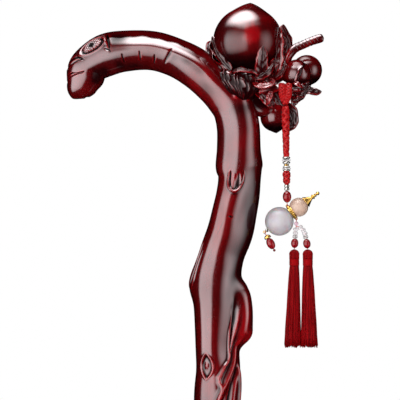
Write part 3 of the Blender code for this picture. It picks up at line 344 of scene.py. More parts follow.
def lacquer_look():
    """Red lacquer over dark wood, with painted shade and light: its colour and gloss are dark and dull in
    hollows, and bright and glossy on ridges.
    """
    look = Look(
        "red_lacquer", (0.2, 0.003, 0.008), 0.24,
        Specular_IOR_Level=0.6, Coat_Weight=1.0, Coat_Roughness=0.1, Coat_IOR=1.85,
    )
    shade = look.attribute(PAINTED_SHADE_AND_TONE)
    cloudy = look.join("SUBTRACT", look.noise(38, 4, 0.55, (1, 1, 0.5)), 0.5)
    # Painted shade and light: the colour darkens with the shade attribute, clouded at random
    look.set(Base_Color=look.ramp(
        look.join("ADD", shade, look.join("MULTIPLY", cloudy, 0.7)),
        (0.0, (0.003, 0.0003, 0.0006)), (0.35, (0.024, 0.0006, 0.0014)),
        (0.68, (0.13, 0.0007, 0.002)), (1.0, (0.42, 0.002, 0.006)),
    ))
    drift = look.mapped(look.noise(24, 3, 0.5, (1, 1, 0.5)), 0.6, 1.0, 0.38, 0.62)
    gloss = look.join("MULTIPLY", drift, look.mapped(shade, 0.1, 1.0, 0.22, 0.6))
    gloss = look.join("MULTIPLY", gloss, look.join("SUBTRACT", 1.0, look.attribute(DULL)))
    look.set(Coat_Weight=gloss, Specular_IOR_Level=look.mapped(gloss, 0.0, 0.6))
    look.set(Coat_Tint=look.ramp(look.noise(15, 2), (0.35, (0.72, 0.24, 0.31)), (0.65, (0.82, 0.5, 0.6))))
    grain = look.noise(260, 2, 0.5, (1, 1, 0.08))
    waves = look.bump(look.noise(90, 2, 0.4, (1, 1, 0.35)), 0.35, 0.0004)
    look.set(Roughness=look.mapped(grain, 0.16, 0.26), Coat_Normal=waves)
    look.set(Normal=look.bump(grain, 0.15, 0.0001, Normal=waves))
    return look.made


def cord_look():
    look = Look(
        "satin_cord", (0.34, 0.004, 0.007), 0.38, Specular_IOR_Level=0.4, Specular_Tint=(1.0, 0.5, 0.5, 1.0),
    )
    fibre = look.noise(2600, 2, 0.6, (1, 1, 0.3))
    mixed = look.join("MULTIPLY", look.attribute(PAINTED_SHADE_AND_TONE), 0.6)
    mixed = look.join("ADD", mixed, look.join("MULTIPLY", fibre, 0.4))
    stops = (0.2, (0.16, 0.001, 0.002)), (0.55, (0.44, 0.002, 0.004)), (0.9, (0.68, 0.02, 0.02))
    look.set(Base_Color=look.ramp(mixed, *stops), Roughness=look.mapped(fibre, 0.3, 0.5))
    look.set(Normal=look.bump(fibre, 0.5, 0.00008))
    return look.made


def yarn_look():
    look = Look(
        "tassel_yarn", (0.2, 0.001, 0.003), 0.5, Specular_IOR_Level=0.3, Specular_Tint=(1.0, 0.1, 0.11, 1.0),
    )
    fibre = look.noise(3200, 2, 0.6, (1, 1, 0.15))
    stops = (0.0, (0.07, 0.0003, 0.001)), (0.5, (0.19, 0.0007, 0.002)), (1.0, (0.34, 0.002, 0.004))
    look.set(Base_Color=look.ramp(look.attribute(PAINTED_SHADE_AND_TONE), *stops), Roughness=look.mapped(fibre, 0.38, 0.6))
    look.set(Normal=look.bump(fibre, 0.4, 0.00006))
    return look.made


def metal_look(name, dark, light, roughness):
    look = Look(name, light, roughness, Metallic=1.0)
    gloss = look.noise(900, 3, 0.6)
    look.set(Base_Color=look.ramp(look.noise(420, 4, 0.6), (0.25, dark), (0.6, light)))
    look.set(Roughness=look.mapped(gloss, roughness * 0.7, roughness * 1.6))
    look.set(Normal=look.bump(look.noise(1500, 3, 0.6), 0.25, 0.00006))
    return look.made


def pale_wood_look():
    look = Look("pale_wood", (0.78, 0.56, 0.44), 0.42, Specular_IOR_Level=0.45)
    bands = look.add(
        "TexWave", Scale=520, Distortion=3.5, Detail=3, bands_direction="Z", Vector=look.place((1, 1, 1)),
    ).outputs["Fac"]
    grain = look.join(
        "ADD", look.join("MULTIPLY", bands, 0.35), look.join("MULTIPLY", look.noise(320, 4), 0.65),
    )
    stops = (0.25, (0.52, 0.31, 0.22)), (0.5, (0.68, 0.45, 0.35)), (0.8, (0.8, 0.61, 0.49))
    look.set(Base_Color=look.ramp(grain, *stops), Roughness=look.mapped(grain, 0.5, 0.35))
    look.set(Normal=look.bump(grain, 0.2, 0.0001))
    return look.made


def crystal_look(name, colour):
    dark = tuple(channel * 0.86 for channel in colour)
    return clouded_look(
        name, colour, 0.08, (800, 3, 0.5), ((0.3, dark), (0.7, colour)), (0.05, 0.16),
        ((1400, 2), 0.08, 0.00008), Transmission_Weight=0.3, IOR=1.5,
    )


LACQUER = lacquer_look()
CORD = cord_look()
YARN = yarn_look()
SILVER = metal_look("silver_metal", (0.2, 0.19, 0.18), (0.62, 0.59, 0.56), 0.16)
GOLD = metal_look("gold_metal", (0.42, 0.22, 0.04), (0.82, 0.52, 0.14), 0.18)
STEEL = metal_look("zinc_steel", (0.45, 0.45, 0.46), (0.7, 0.7, 0.71), 0.35)
PALE_WOOD = pale_wood_look()
CRYSTAL = crystal_look("clear_crystal", (0.93, 0.9, 0.92))
PINK = crystal_look("pink_crystal", (0.92, 0.66, 0.78))
JADE = clouded_look(
    "white_jade", (0.72, 0.7, 0.76), 0.32, (140, 5, 0.6),
    ((0.3, (0.5, 0.455, 0.49)), (0.55, (0.6, 0.55, 0.59)), (0.8, (0.7, 0.66, 0.69))),
    (0.28, 0.45), ((700, 3, 0.5), 0.12, 0.0001),
    Subsurface_Weight=0.35, Subsurface_Scale=0.004, Specular_IOR_Level=0.4,
)
RED_BEAD = clouded_look(
    "red_glass", (0.3, 0.002, 0.008), 0.2, (500, 3, 0.6),
    ((0.3, (0.2, 0.001, 0.004)), (0.7, (0.36, 0.003, 0.01))), (0.16, 0.3), ((900, 2), 0.08, 0.0001),
    Coat_Weight=0.35, Coat_Roughness=0.05, Specular_IOR_Level=0.3,
)
RUBBER = clouded_look(
    "black_rubber", (0.025, 0.025, 0.026), 0.7, (220, 5, 0.65),
    ((0.35, (0.018, 0.018, 0.019)), (0.8, (0.05, 0.048, 0.046))),
    (0.6, 0.85), ((2400, 3, 0.6), 0.4, 0.0001), Specular_IOR_Level=0.35,
)

# The carving of the limb. A place on it is a length from the foot, and an angle round it: 0 in front, 90 on
# the outer side of the bend, -90 on the inner side and 180 behind.

LIMB_RADIUS = 15.5
LIMB_SIDES = 300
# Where the carving begins and the length over which it grows, and the length of the rounded end
CARVING_START, CARVING_FADE, NOSE_END = 52.0, 50.0, 6.0

# How close the rings of the limb are, from each length up: length, gap
RINGS = ((0, 2.2), (575, 0.55), (790, 1.4), (872, 0.42), (934, 0.26))

# The length at which the nose ends in the tables of the carving
CARVED_LENGTH = 963.8

# Strokes, ridges if high and grooves if deep: points of length, angle, half width, height
STROKES = (
    # burl on the outer side
    ((700, 82, 5, 0), (690, 82, 6.4, 5.8), (679, 84, 6.8, 8.4), (666, 84, 7, 9), (658.5, 82, 6, 8.4),
     (653, 80, 4.2, 2), (650, 78, 3, 0)),
    ((690, 66, 3, 0), (678, 64, 3.4, 2.2), (666, 62, 3, 2.4), (654, 58, 2, 0.6)),
    # ridges that run down from it
    ((678, 42, 0.8, 0), (669, 39, 1, 0.8), (660, 34, 1.1, 1.3), (643.4, 33, 1.2, 1.5), (637, 17, 1.3, 1.5),
     (630, 2, 1.2, 0.6)),
    ((678.2, 55, 0.7, 0), (665, 49, 0.9, 1.1), (652.6, 42, 1, 1.2), (642, 34, 1, 0.4)),
    ((657, 60, 1.5, 0), (651.3, 55, 2.2, 1.6), (641.3, 49, 2.2, 2.2), (626.7, 22, 2, 2), (613.4, 4, 2, 1.8),
     (600, -4, 2, 0.8), (588, -8, 2, 0)),
    ((634, 13, 1, 0), (628, 5, 1.4, 1), (621.8, 11, 1.2, 0.9), (613.4, 3, 1.2, 0.8)),
    ((640, 66, 1.4, 0), (633, 72, 1.8, 1.4), (624, 76, 1.8, 1.6), (613.4, 71, 1.8, 1.4), (598, 66, 2, 0)),
    # grooves between them
    ((638, 62, 1.2, 0), (632, 56, 1.6, -2.2), (624.6, 45, 2, -3), (613.4, 34, 2.2, -3), (599, 26, 2, -1.6),
     (587, 20, 1.6, 0)),
    ((686, 50, 1.4, 0), (676, 47, 2.2, -0.9), (664, 42, 2, -1), (654, 39, 1.4, -0.6), (647, 38, 1, 0)),
    ((669, 45, 0.5, 0), (660, 40, 0.6, -1), (650, 37, 0.5, -0.8), (645, 36, 0.4, 0)),
    # scar on the inner side
    ((729, -66, 0.6, 0), (719.1, -70, 0.7, 0.3), (708, -76, 0.8, 0.5), (699, -82, 0.9, 0.6),
     (692.5, -84, 0.9, 0.3)),
    ((727, -56, 0.5, 0), (719.1, -60, 0.6, 0.2), (702.4, -62, 0.7, 0.35), (693.6, -68, 0.8, 0.3),
     (689, -74, 0.7, 0)),
    ((724, -62, 0.6, 0), (715, -66, 0.7, -0.6), (702, -70, 0.8, -0.9), (694.5, -76, 0.7, -0.5)),
    ((720, -50, 0.4, 0), (712, -54, 0.5, -0.35), (702, -57, 0.5, -0.4), (694, -60, 0.4, 0)),
    # cut branch: its lip, and the groove inside the lip
    ((777.5, -22, 0.4, 0), (774.5, -29, 0.5, 0.5), (769, -31, 0.6, 0.7), (764, -27, 0.7, 0.9),
     (761.2, -18, 0.8, 1.1), (761.2, -8, 0.8, 1.1), (765, 4, 0.7, 0.9), (770, 11, 0.5, 0.6),
     (775.5, 12, 0.4, 0)),
    ((776.5, -21, 0.4, 0), (774, -25, 0.6, -0.9), (769, -27, 0.7, -1.3), (765, -24, 0.6, -0.8),
     (763.2, -19, 0.4, 0)),
    ((774.5, -3, 0.5, 0), (771, -4, 1.1, -1), (767, -6, 1.5, -1.7), (764, -9, 1.2, -1.2),
     (762.5, -12, 0.6, 0)),
    ((775, -14, 0.4, 0), (770, -16, 0.5, 0.4), (765, -17, 0.5, 0.3), (763, -17, 0.4, 0)),
    # creases of the grip
    ((913.6, -9, 0.4, 0), (913.2, -16, 0.5, -0.45), (912.6, -30, 0.5, -0.4), (912, -38, 0.4, 0)),
    ((900.7, -4, 0.4, 0), (900.4, -14, 0.5, -0.55), (900, -28, 0.5, -0.5), (899.6, -36, 0.4, 0)),
    ((889.5, -12, 0.4, 0), (889, -22, 0.6, -0.7), (888.6, -34, 0.6, -0.6), (888.2, -44, 0.4, 0)),
    ((878.6, 20, 0.5, 0), (879, 6, 1.2, -0.5), (879.6, -10, 1.2, -0.5), (880, -24, 0.9, -0.3),
     (880.4, -38, 0.5, 0)),
    # collar behind the eye
    ((920.6, 64, 0.5, 0), (920.7, 50, 0.6, -0.8), (920.9, 30, 0.6, -0.9), (921.2, 14, 0.6, -0.6),
     (921.6, 2, 0.5, 0)),
    ((923.2, 56, 0.6, 0), (923, 44, 0.9, 0.9), (922.6, 32, 0.9, 0.8), (922.2, 20, 0.5, 0)),
    ((924.2, 16, 0.5, 0), (923, 10, 0.8, -0.8), (921.6, 4, 0.7, -0.4), (921.2, 0, 0.5, 0)),
    # mound at the top of the shaft
    ((824.5, 18, 1, 0), (826.2, 26, 1.7, 0.9), (826.6, 38, 1.7, 0.9), (825.5, 48, 1, 0)),
    # hairline cracks
    ((740, -20, 0.35, 0), (734, -24, 0.45, -0.16), (726, -27, 0.35, 0)),
    ((718, -28, 0.35, 0), (712, -30, 0.45, -0.16), (705, -34, 0.35, 0)),
)

# Round knots and hollows: length, angle, half length, half width, height
KNOTS = (
    (694, -88, 8, 6, 2.2), (742.9, -9, 0.6, 1, -0.6), (726.5, 79, 1, 1.2, 0.5), (780, 86, 7, 5, 0.5),
    (823.5, 42, 4.5, 5.5, 1.6), (470, 10, 10, 7, 2.6), (355, -95, 10, 7, 3), (290, 60, 9, 6, 2.2),
    (170, 25, 9, 6, 1.8), (530, -150, 11, 8, 2.6), (735, 172, 10, 7, 2.6),
)

# Almond-shaped scars: length, angle, half length, half width, rim, depth
ALMONDS = (
    (637.4, -29, 9.6, 4.4, 0.4, 1.1), (405, 105, 9, 4.5, 0.7, 1.3), (660, 178, 10, 5, 0.8, 1.5),
    (230, -20, 8, 4, 0.6, 1.1),
)

# Grooves across the nose, alike in front and behind: length on the outer side, length and angle
# where they end in front, half width, depth. Each is a lens between two thin lines
NOSE_GROOVES = ((944.6, 939, 20, 1.0, 0.9), (956, 944.6, 2, 1.2, 1.2))
NOSE_LINE = 0.36

# The eye, alike in front and behind: length, angle, half length, half width round the limb
EYE = (930.5, 42, 7.5, 5.4)

# Broad swellings of the shaft: start, angle there, end, angle there, half width, height. They begin and end
# over SWELLING_FADE
SWELLINGS = (
    (560, -120, 700, -140, 5, 2.2), (600, 150, 760, 140, 5.5, 2.4), (430, 60, 560, 80, 5.5, 2.6),
    (400, -30, 540, -48, 5, 2.4), (440, 175, 560, 190, 5, 2.2), (250, 20, 390, 14, 4.5, 2),
    (220, 130, 380, 140, 5, 2.2), (120, -80, 280, -96, 4.5, 1.8),
)
SWELLING_FADE = 30.0

# Patches of painted shade, some also dull: length, angle, half length, half width, how dark, how dull
PAINTED_SHADE_AND_DULL_PATCHES = (
    (938.5, -38, 5, 8, 0.3, 0), (932, -48, 4, 6, 0.25, 0), (947, -38, 5, 6, 0.4, 0.9),
    (939.4, 38, 2, 4, 0.25, 0.85), (915, 36, 7, 5, 0.28, 0), (916.5, -42, 4, 5, 0.25, 0),
    (905, -52, 9, 4, 0.25, 0), (876, -2, 5, 3.5, 0.22, 0), (866, 2, 5, 3, 0.3, 0), (856, 0, 6, 3, 0.28, 0),
    (844, -20, 6, 4, 0.18, 0), (833, 30, 9, 6, 0.22, 0), (818, 10, 6, 5, 0.25, 0),
    (740, 60, 26, 7, 0.34, 0), (700, 50, 14, 5, 0.16, 0),
)

# How the section is turned out of round: length, height 45 degrees to the outer side of the front
TURNS = (
    (600, 0), (630, -1.6), (645.5, -2.5), (663, -2.2), (684, -1.5), (705, -1.2), (719, -2.1), (736.7, -3),
    (745.8, -3.1), (757.7, -2.8), (769, -1.5), (783, -0.1), (800, 0),
)

# The bevel along the top of the handle: angle, height, and how much of it there is at each length
BEVEL = ((-60, 0), (-20, 0.1), (0, 0.8), (9, 1.1), (20, 0.5), (33, -0.7), (42, -1), (60, -0.5), (90, 0))
BEVEL_SHARE = ((820, 0), (850, 0.9), (885, 1), (905, 0.9), (915, 0.45), (924, 0))
# How much of the gloss is gone on top of the handle at each length
TOP_DULL = ((835, 0), (850, 0.9), (860, 1), (922, 1), (933, 0))


def eased(value):
    value = np.clip(value, 0.0, 1.0)
    return value * value * (3.0 - 2.0 * value)


def bell(*shares):
    """1 in the middle of a round bump, and falling off past 1 of its half sizes."""
    return np.exp(-sum(share**2 for share in shares))


def turn_between(angle, other):
    return (angle - other + 180.0) % 360.0 - 180.0


def arc(angle, other):
    """How far round the limb an angle is from another."""
    return np.radians(turn_between(angle, other)) * LIMB_RADIUS


def spot_place(length, angle, middle, turn, half_length, half_width):
    """Where each place lies from a spot's middle, in shares of its half sizes."""
    return (length - middle) / half_length, arc(angle, turn) / half_width


def stroke_height(length, angle, points):
    """Height of one curved stroke over a grid of places, the highest or deepest of its stretches."""
    best = np.zeros_like(length + angle)
    points = smooth_rows(points, 14)
    reach = 3.0 * points[:, 2].max()
    near = (length[:, 0] > points[:, 0].min() - reach) & (length[:, 0] < points[:, 0].max() + reach)
    part, found = length[near], best[near]
    for (s0, a0, w0, h0), (s1, a1, w1, h1) in zip(points, points[1:]):
        across = arc(angle, a0)
        step = np.array((s1 - s0, math.radians(a1 - a0) * LIMB_RADIUS))
        t = np.clip(((part - s0) * step[0] + across * step[1]) / (step @ step), 0.0, 1.0)
        away = np.hypot(part - s0 - t * step[0], across - t * step[1])
        height = (h0 + (h1 - h0) * t) * bell(away / np.maximum(w0 + (w1 - w0) * t, 0.2))
        found = np.where(np.abs(height) > np.abs(found), height, found)
    best[near] = found
    return best


def waves(length, angle, seed, size):
    """Smooth random waves over the limb, from -1 to 1 or so."""
    chance = np.random.default_rng(seed)
    count = 7
    total = 0.0
    for _ in range(count):
        heading = chance.uniform(0, math.tau)
        wave = math.tau / (size * chance.uniform(0.7, 1.5))
        turns = round(wave * math.sin(heading) * LIMB_RADIUS)
        run = length * wave * math.cos(heading) * 0.6 + np.radians(angle) * turns
        total = total + np.sin(run + chance.uniform(0, math.tau))
    return total / count * 1.6


def eye_place(length, angle):
    """Where each place lies from the nearer eye's middle, in shares of the eye's half sizes."""
    middle, turn, half_length, half_width = EYE
    away = np.minimum(np.abs(arc(angle, turn)), np.abs(arc(angle, 180 - turn)))
    return (length - middle) / half_length, away / half_width


def pupil_share(along, tall):
    return bell((along - 0.05) / 0.22, (tall - 0.05) / 0.3)


def eye_height(length, angle):
    """A bulging stippled eyeball with a rim round it."""
    along, tall = eye_place(length, angle)
    away = np.hypot(along, tall)
    ball = 1.3 * np.sqrt(np.clip(1.0 - (away / 0.8) ** 2, 0.0, 1.0))
    stipple = 0.5 * np.sin(length * 3.4) * np.sin(np.radians(angle) * 46.0) * (away < 0.78)
    groove, rim = bell((away - 0.88) / 0.1), bell((away - 1.12) / 0.11)
    return ball + stipple - 0.9 * pupil_share(along, tall) - 1.1 * groove + 0.4 * rim


def nose_depth(length, angle):
    """How deep the grooves across the nose are, with a notch where each begins on the outer side."""
    depth = 0.0
    for outer, end, end_angle, half_width, most in NOSE_GROOVES:
        run = np.abs(turn_between(angle, 90.0)) / (90.0 - end_angle)
        lens = half_width * np.sin(math.pi * np.clip(0.2 + 0.8 * run, 0.0, 1.0))
        edge = (np.abs(length - outer - (end - outer) * run) - lens) / NOSE_LINE
        notch = 0.7 * (1.0 - eased(run / 0.5)) * np.exp(-((edge + lens / NOSE_LINE) ** 2) / 8.0)
        depth = depth + most * (1.0 - eased((run - 0.85) / 0.2)) * np.maximum(bell(edge), notch)
    return depth


def limb_relief(length, angle):
    """How far the carving stands out of the limb's round section at each place of a grid."""
    front = np.cos(np.radians(angle))
    height = 0.8 * waves(length, angle, 3, 50.0) + 0.3 * waves(length, angle, 8, 21.0)
    height *= 0.4 + 0.6 * front**2
    turns = np.interp(length, *smooth_rows(TURNS, 8).T)
    height += turns * np.sin(np.radians(2 * angle)) * np.clip(front, 0.0, 1.0)
    share = np.interp(length, *np.transpose(BEVEL_SHARE))
    height += share * np.interp(turn_between(angle, 0.0), *smooth_rows(BEVEL, 8).T)
    for start, first, end, last, width, rise in SWELLINGS:
        middle = first + (last - first) * (length - start) / (end - start)
        inside = eased((length - start) / SWELLING_FADE) * eased((end - length) / SWELLING_FADE)
        height += rise * inside * bell(arc(angle, middle) / width)
    for points in STROKES:
        height += stroke_height(length, angle, points)
    for *spot, rise in KNOTS:
        height += rise * bell(*spot_place(length, angle, *spot))
    for *spot, rim, depth in ALMONDS:
        along, across = spot_place(length, angle, *spot)
        away = along**2 + np.abs(across)
        height += rim * bell((away - 1.05) / 0.16) - depth * (1.0 - eased((away - 0.55) / 0.4))
        height += 0.8 * bell((along - 0.1) / 0.3, across / 0.3)
    return height - nose_depth(length, angle) + eye_height(length, angle)


def limb_lacquer(length, carved, angle, relief):
    """Painted shade and light on the limb, and how dull its lacquer is at each place."""
    blurred = relief.copy()
    for _ in range(6):
        blurred = (blurred + np.roll(blurred, 1, 1) + np.roll(blurred, -1, 1)) / 3
        blurred[1:-1] = (blurred[:-2] + blurred[1:-1] + blurred[2:]) / 3
    # Painted shade in hollows and painted highlight on ridges: the relief against a blurred copy of itself
    shade = 0.66 + (relief - blurred) * 1.8 + np.clip(relief, -1.5, 1.5) * 0.06
    facing = turn_between(angle, 0.0)
    wander = 2.5 * np.sin(length * 0.26) + 1.5 * np.sin(length * 0.61)
    top = eased(turn_between(angle, 34.0 + wander) / 9.0) * eased((100.0 - facing) / 20.0)
    streak = eased((carved - 903.0) / 12.0) * (carved < 922.5)
    streak = streak * eased((facing + 6.0) / 8.0) * eased((50.0 - facing) / 8.0)
    dull = np.maximum(top * np.interp(carved, *np.transpose(TOP_DULL)), 0.72 * streak)
    # Painted shade patches, some of which also take away gloss
    for *spot, dark, matt in PAINTED_SHADE_AND_DULL_PATCHES:
        inside = bell(*spot_place(carved, angle, *spot))
        shade -= dark * inside
        dull = np.maximum(dull, matt * inside)
    # Painted shade: the colour darkens towards the sides of the limb
    side = eased((np.abs(facing) - 60.0) / 25.0) * (np.abs(facing) < 110.0)
    # Painted shade in the pupil's hollow, which is also dull
    pupil = pupil_share(*eye_place(carved, angle))
    shade = np.clip(np.clip(shade - 0.22 * side, 0.0, 0.9) - pupil, 0.0, 1.0)
    return shade, np.maximum(dull, 0.97 * pupil)


def limb():
    """The branch that is the shaft and, bent over, the handle."""
    rows = smooth_rows([*LOWER_LIMB, *(UPPER_LIMB + np.array((0.0, 0.0, HEAD[2], 0.0, 0.0)))], 16)
    total = travelled(rows)[-1]
    stops = [*RINGS, (total - NOSE_END, 0.0)]
    lengths = np.concatenate([
        *(np.linspace(start, stop, round((stop - start) / gap), endpoint=False)
          for (start, gap), (stop, _) in zip(stops, stops[1:])),
        total - NOSE_END * (1.0 - np.sin(np.linspace(0.0, math.pi / 2, 16))),
    ])
    places = at_lengths(rows, lengths)
    length, angle = lengths[:, None], (360.0 * np.arange(LIMB_SIDES) / LIMB_SIDES - 90.0)[None, :]
    carved, turn = length - total + CARVED_LENGTH, np.radians(angle)
    width, depth = places[:, 3:4], places[:, 4:5]
    tangents = unit(np.gradient(places[:, :3], axis=0))
    outer = unit(np.cross(tangents, (0.0, -1.0, 0.0)))
    share = eased((length - CARVING_START) / CARVING_FADE) * np.clip(width / 15.0, 0.3, 1.0)
    relief = share * limb_relief(carved, angle)
    across = ((width + relief) * np.sin(turn))[..., None] * outer[:, None]
    forward = ((depth + relief) * np.cos(turn))[..., None] * np.array((0.0, -1.0, 0.0))
    shade, dull = limb_lacquer(length, carved, angle, relief)
    grid = places[:, None, :3] + across + forward
    made = piece("carved_limb", [grid], LACQUER, shade=shade, dull=dull)
    dress("cane", "lacquered_wood", "carved_cane", made)


# The head: fruit, leaves and twigs, measured from HEAD

# Peaches: name, centre, radius, how far the tip stands out, where it points, where the cleft faces, height
# against width, the cleft's depth, how far down the tip reaches (radians)
PEACHES = (
    ("big_peach", (23.1, 0, 37.8), 24.5, 5, (0.07, 0.3, 1), (0, 1, 0), 1, 0.07, 0.62),
    ("front_peach", (57.4, -2.5, 15.4), 10.1, 1.2, (0.35, -0.9, 0.3), (0.5, -0.2, 0.8), 0.95, 0.1, 0.42),
    ("back_peach", (64.7, 8, 18.5), 10.7, 1.2, (0.7, 0.5, 0.4), (0, 1, 0), 1, 0.07, 0.42),
    ("low_peach", (42, 5.4, -14.7), 10.1, 1.2, (0.1, 0, -1), (0, 1, 0), 1, 0.07, 0.42),
)
# The slant of the highlight on the big peach's top, and the painted glow on its front, a brighter red patch:
# middle and half sizes
HIGHLIGHT_SLANT = math.radians(23.0)
GLOW_MIDDLE, GLOW_SIZE = (0.1, 0.13), (0.3, 0.44)

# Leaves: name, points, width, facing, cup, ripple, veins, twist
LEAVES = (
    ("left_leaf_inner", ((11, -15, 17), (3.5, -12, 26), (-0.6, -8, 34), (-2.2, -4, 41.5)),
     7.5, (-0.7, -0.7, 0.1), 0.25, 0.25, 5, 10),
    ("left_leaf_outer", ((8, -7, 14), (0, -6, 21), (-4.4, -2, 30), (-2.6, 2, 39)),
     9, (-0.75, -0.65, 0.1), -0.2, 0.45, 5),
    ("left_leaf_back", ((8, 5, 14), (-1, 7, 22), (-4, 7, 31), (-1, 6, 39)),
     11, (-0.8, 0.6, 0.1), 0.25, 0.3, 5),
    ("right_leaf_front", ((41.5, -11, 12), (42.6, -13.5, 24), (43.2, -13, 37), (44.4, -9, 48.3)),
     8, (0.7, -0.7, 0), -0.35, 0.12, 6),
    ("right_leaf_broad", ((48.5, -2, 17), (51, -4, 27), (51, -5.5, 38), (47.4, -4, 50)),
     11, (0.45, -0.9, 0), 0.35, 0.16, 6),
    ("front_leaf", ((32, -15, 9), (32.2, -20.5, 17), (32.8, -23.6, 26), (33.2, -23.2, 33.6)),
     9.5, (0.15, -1, -0.1), 0.3, 0.12, 5),
    ("front_leaf_low", ((27, -15, 12), (32, -19.5, 14), (37, -18.5, 17), (40.5, -15, 22)),
     6.5, (0.2, -1, 0.3), 0.35, 0.2, 4),
    ("calyx_leaf_1", ((8, -8, 14), (13, -16.5, 17.5), (18, -20.8, 18.2), (24, -21.5, 16.5)),
     4.5, (0, -1, 0.5), 0.4, 0.2, 4),
    ("calyx_leaf_2", ((36, -6, 16), (30, -17.5, 16), (25, -20.8, 17.2), (19.5, -21, 16.2)),
     4.2, (0, -1, 0.6), 0.4, 0.2, 4),
    ("mid_leaf", ((27, -9, 9), (33, -13, 11.5), (39, -13.5, 10), (44, -11, 8)),
     5.4, (0, -1, 0.4), 0.3, 0.25, 4),
    ("tangle_leaf_1", ((31, -10, 15), (38, -14, 20), (44, -13, 24.5), (49, -9, 27)),
     6.5, (0.1, -1, 0.2), 0.3, 0.3, 5),
    ("tangle_leaf_2", ((37, -8, 12), (43, -12, 13.5), (47, -11.5, 18), (49, -8, 24)),
     6, (0.2, -1, 0), 0.4, 0.3, 5),
    ("low_leaf", ((27, -6, 5), (32, -10, 1), (36.5, -10.5, -4), (40, -8, -9)),
     6.4, (0.2, -1, 0), 0.25, 0.3, 5),
    ("low_leaf_small", ((36, -6, 1), (39, -9, -2), (40.5, -9.5, -5.5), (41, -8, -9)),
     5, (0.4, -1, 0.1), 0.35, 0.3, 4),
    ("under_leaf_1", ((54, -7, 7), (58.5, -10, 4.5), (62.5, -9.5, 5.5), (66, -6, 9)),
     6.5, (0, -1, -0.5), 0.35, 0.2, 5),
    ("under_leaf_2", ((56, -4, 3), (60, -7.5, 0.5), (63.5, -7, 3), (67, -4, 7)),
     5, (0.1, -1, -0.3), 0.3, 0.3, 5),
    ("behind_leaf_1", ((38, -1, 8), (41, 0, 3), (44, 0, -2), (46, 1, -8)), 9, (0.1, -1, 0), 0.3, 0.3, 5),
    ("behind_leaf_2", ((60, 0, 10), (58, 0, 4), (56.5, 0, -1), (55, 1, -7)), 7.5, (0, -1, 0), 0.3, 0.3, 5),
    ("wedge_leaf", ((60, -3, 4.5), (65, -4.5, 4.6), (70, -4, 3.4), (74.6, -3, 3)),
     6.4, (0.2, -0.9, 0.5), 0.2, 0.1, 4),
    ("curl_leaf", ((64, -2, 3), (60, -5, -1.6), (56, -5, -3.4), (52.6, -4, -1.2)),
     5, (0.1, -1, -0.3), 0.5, 0.25, 4),
    ("fruit_leaf", ((61.5, -11, 20.8), (60.2, -13.4, 17), (58.2, -13.6, 12), (57, -11.5, 7)),
     4.2, (0.7, -0.7, 0), 0.5, 0.1, 4),
    ("low_fruit_leaf", ((41, 3, -2), (49.5, 1, -8), (54.5, 1, -15), (50.6, 2, -25)),
     12, (0.3, -1, 0.1), 0.2, 0.25, 6),
    ("rear_leaf_1", ((32, 15, 9), (32.2, 20.5, 17), (32, 23.6, 26), (31, 23.2, 34)),
     10, (0.1, 1, -0.1), 0.3, 0.12, 5),
    ("rear_leaf_2", ((41, 9, 13), (43.5, 12, 24), (44.5, 11, 35), (44.8, 8, 45.5)),
     9, (0.6, 0.8, 0), 0.3, 0.15, 6),
    ("rear_leaf_3", ((22, 12, 16), (19.5, 15.8, 10), (18, 16.2, 4), (17.6, 14.6, -1)),
     9, (0, 1, 0.1), 0.3, 0.2, 5),
    ("rear_leaf_4", ((29, 8, 13), (34, 11.5, 9), (38, 11.5, 4), (41.5, 9, 0)), 8, (0.1, 1, 0), 0.3, 0.2, 5),
)
LEAF_THICKNESS = 1.1

# Small leaves that lie open to the light from above: name, points, width
GLINTS = (
    ("glint_leaf_1", ((26.5, -15.5, 9.2), (29.5, -20.2, 6.8), (35, -20.8, 6.4), (38.5, -19.6, 7.8),
     (41.5, -15.5, 10.5)), 4.4),
    ("glint_leaf_2", ((39, -13, 3), (37.8, -16.4, -0.6), (36.6, -16.4, -3.4), (35.4, -12.5, -6.8)), 4.2),
    ("glint_leaf_3", ((54.6, -11, 9.2), (56.2, -14.4, 8.6), (58.8, -14.6, 7), (61.5, -11, 5)), 3.4),
)
GLINT_FACING = (0.05, -0.84, 0.545)

# Branches: name, stations of x, y, z, radius, lumps, shade. The shade is painted: lower for the branches
# that lie deep in the tangle under the fruit and leaves
BRANCHES = (
    ("arm", ((10, 0, 2, 11), (24.5, 0, 9, 11.2), (37, -1, 14.5, 9), (48, 0, 17.8, 6.6), (58, 1, 17, 5.5)),
     0.03, 0.32),
    ("calyx", ((17, 0, -2, 10.5), (19, 0, 6, 14), (21.5, 0, 16, 15), (22.5, 0, 21.5, 12)), 0.02, 0.32),
    ("twig", ((45, -1, 20, 4), (51, -2, 28, 3.5), (56, -2.5, 33, 3), (62, -2.5, 36, 2.9),
     (68, -2.5, 38.4, 2.9), (73.5, -2.5, 40, 3), (75, -2.5, 40.4, 2.6), (75.8, -2.5, 40.6, 1.7),
     (76, -2.5, 40.6, 0.6)), 0.02, 0.62),
    ("low_stem", ((26, 1, -2, 7.5), (34, 2, -9.5, 6.2), (41, 3, -12.5, 5.5)), 0.04, 0.24),
    ("fruit_wood", ((50, -1, 16.5, 6), (60, 3, 12.5, 6.6), (67, 6, 13, 5)), 0.04, 0.3),
    ("hanging_bar", ((31, -6, 3, 4), (39.5, -7.6, 4.2, 2.8), (43.5, -8, 4.2, 1.6), (48.8, -8, 4.2, 1.6),
     (54, -8, 4.2, 1.6), (58, -7.4, 4.2, 2.5), (60, -7, 4.2, 1.8)), 0, 0.6),
    ("bar_post", ((57.2, -7.6, 3, 1.6), (58, -6, 6.6, 2.8), (60, -1, 15.2, 4.6)), 0.02, 0.3),
)
# The raised rings along the twig: x, z
TWIG_RINGS = ((57, 33.6), (59.4, 34.9), (61.8, 35.9), (64.2, 36.9), (66.6, 37.8), (69, 38.7), (71.2, 39.5))

# Folds of the fan leaf on each side of its middle
FLUTES = 4.6


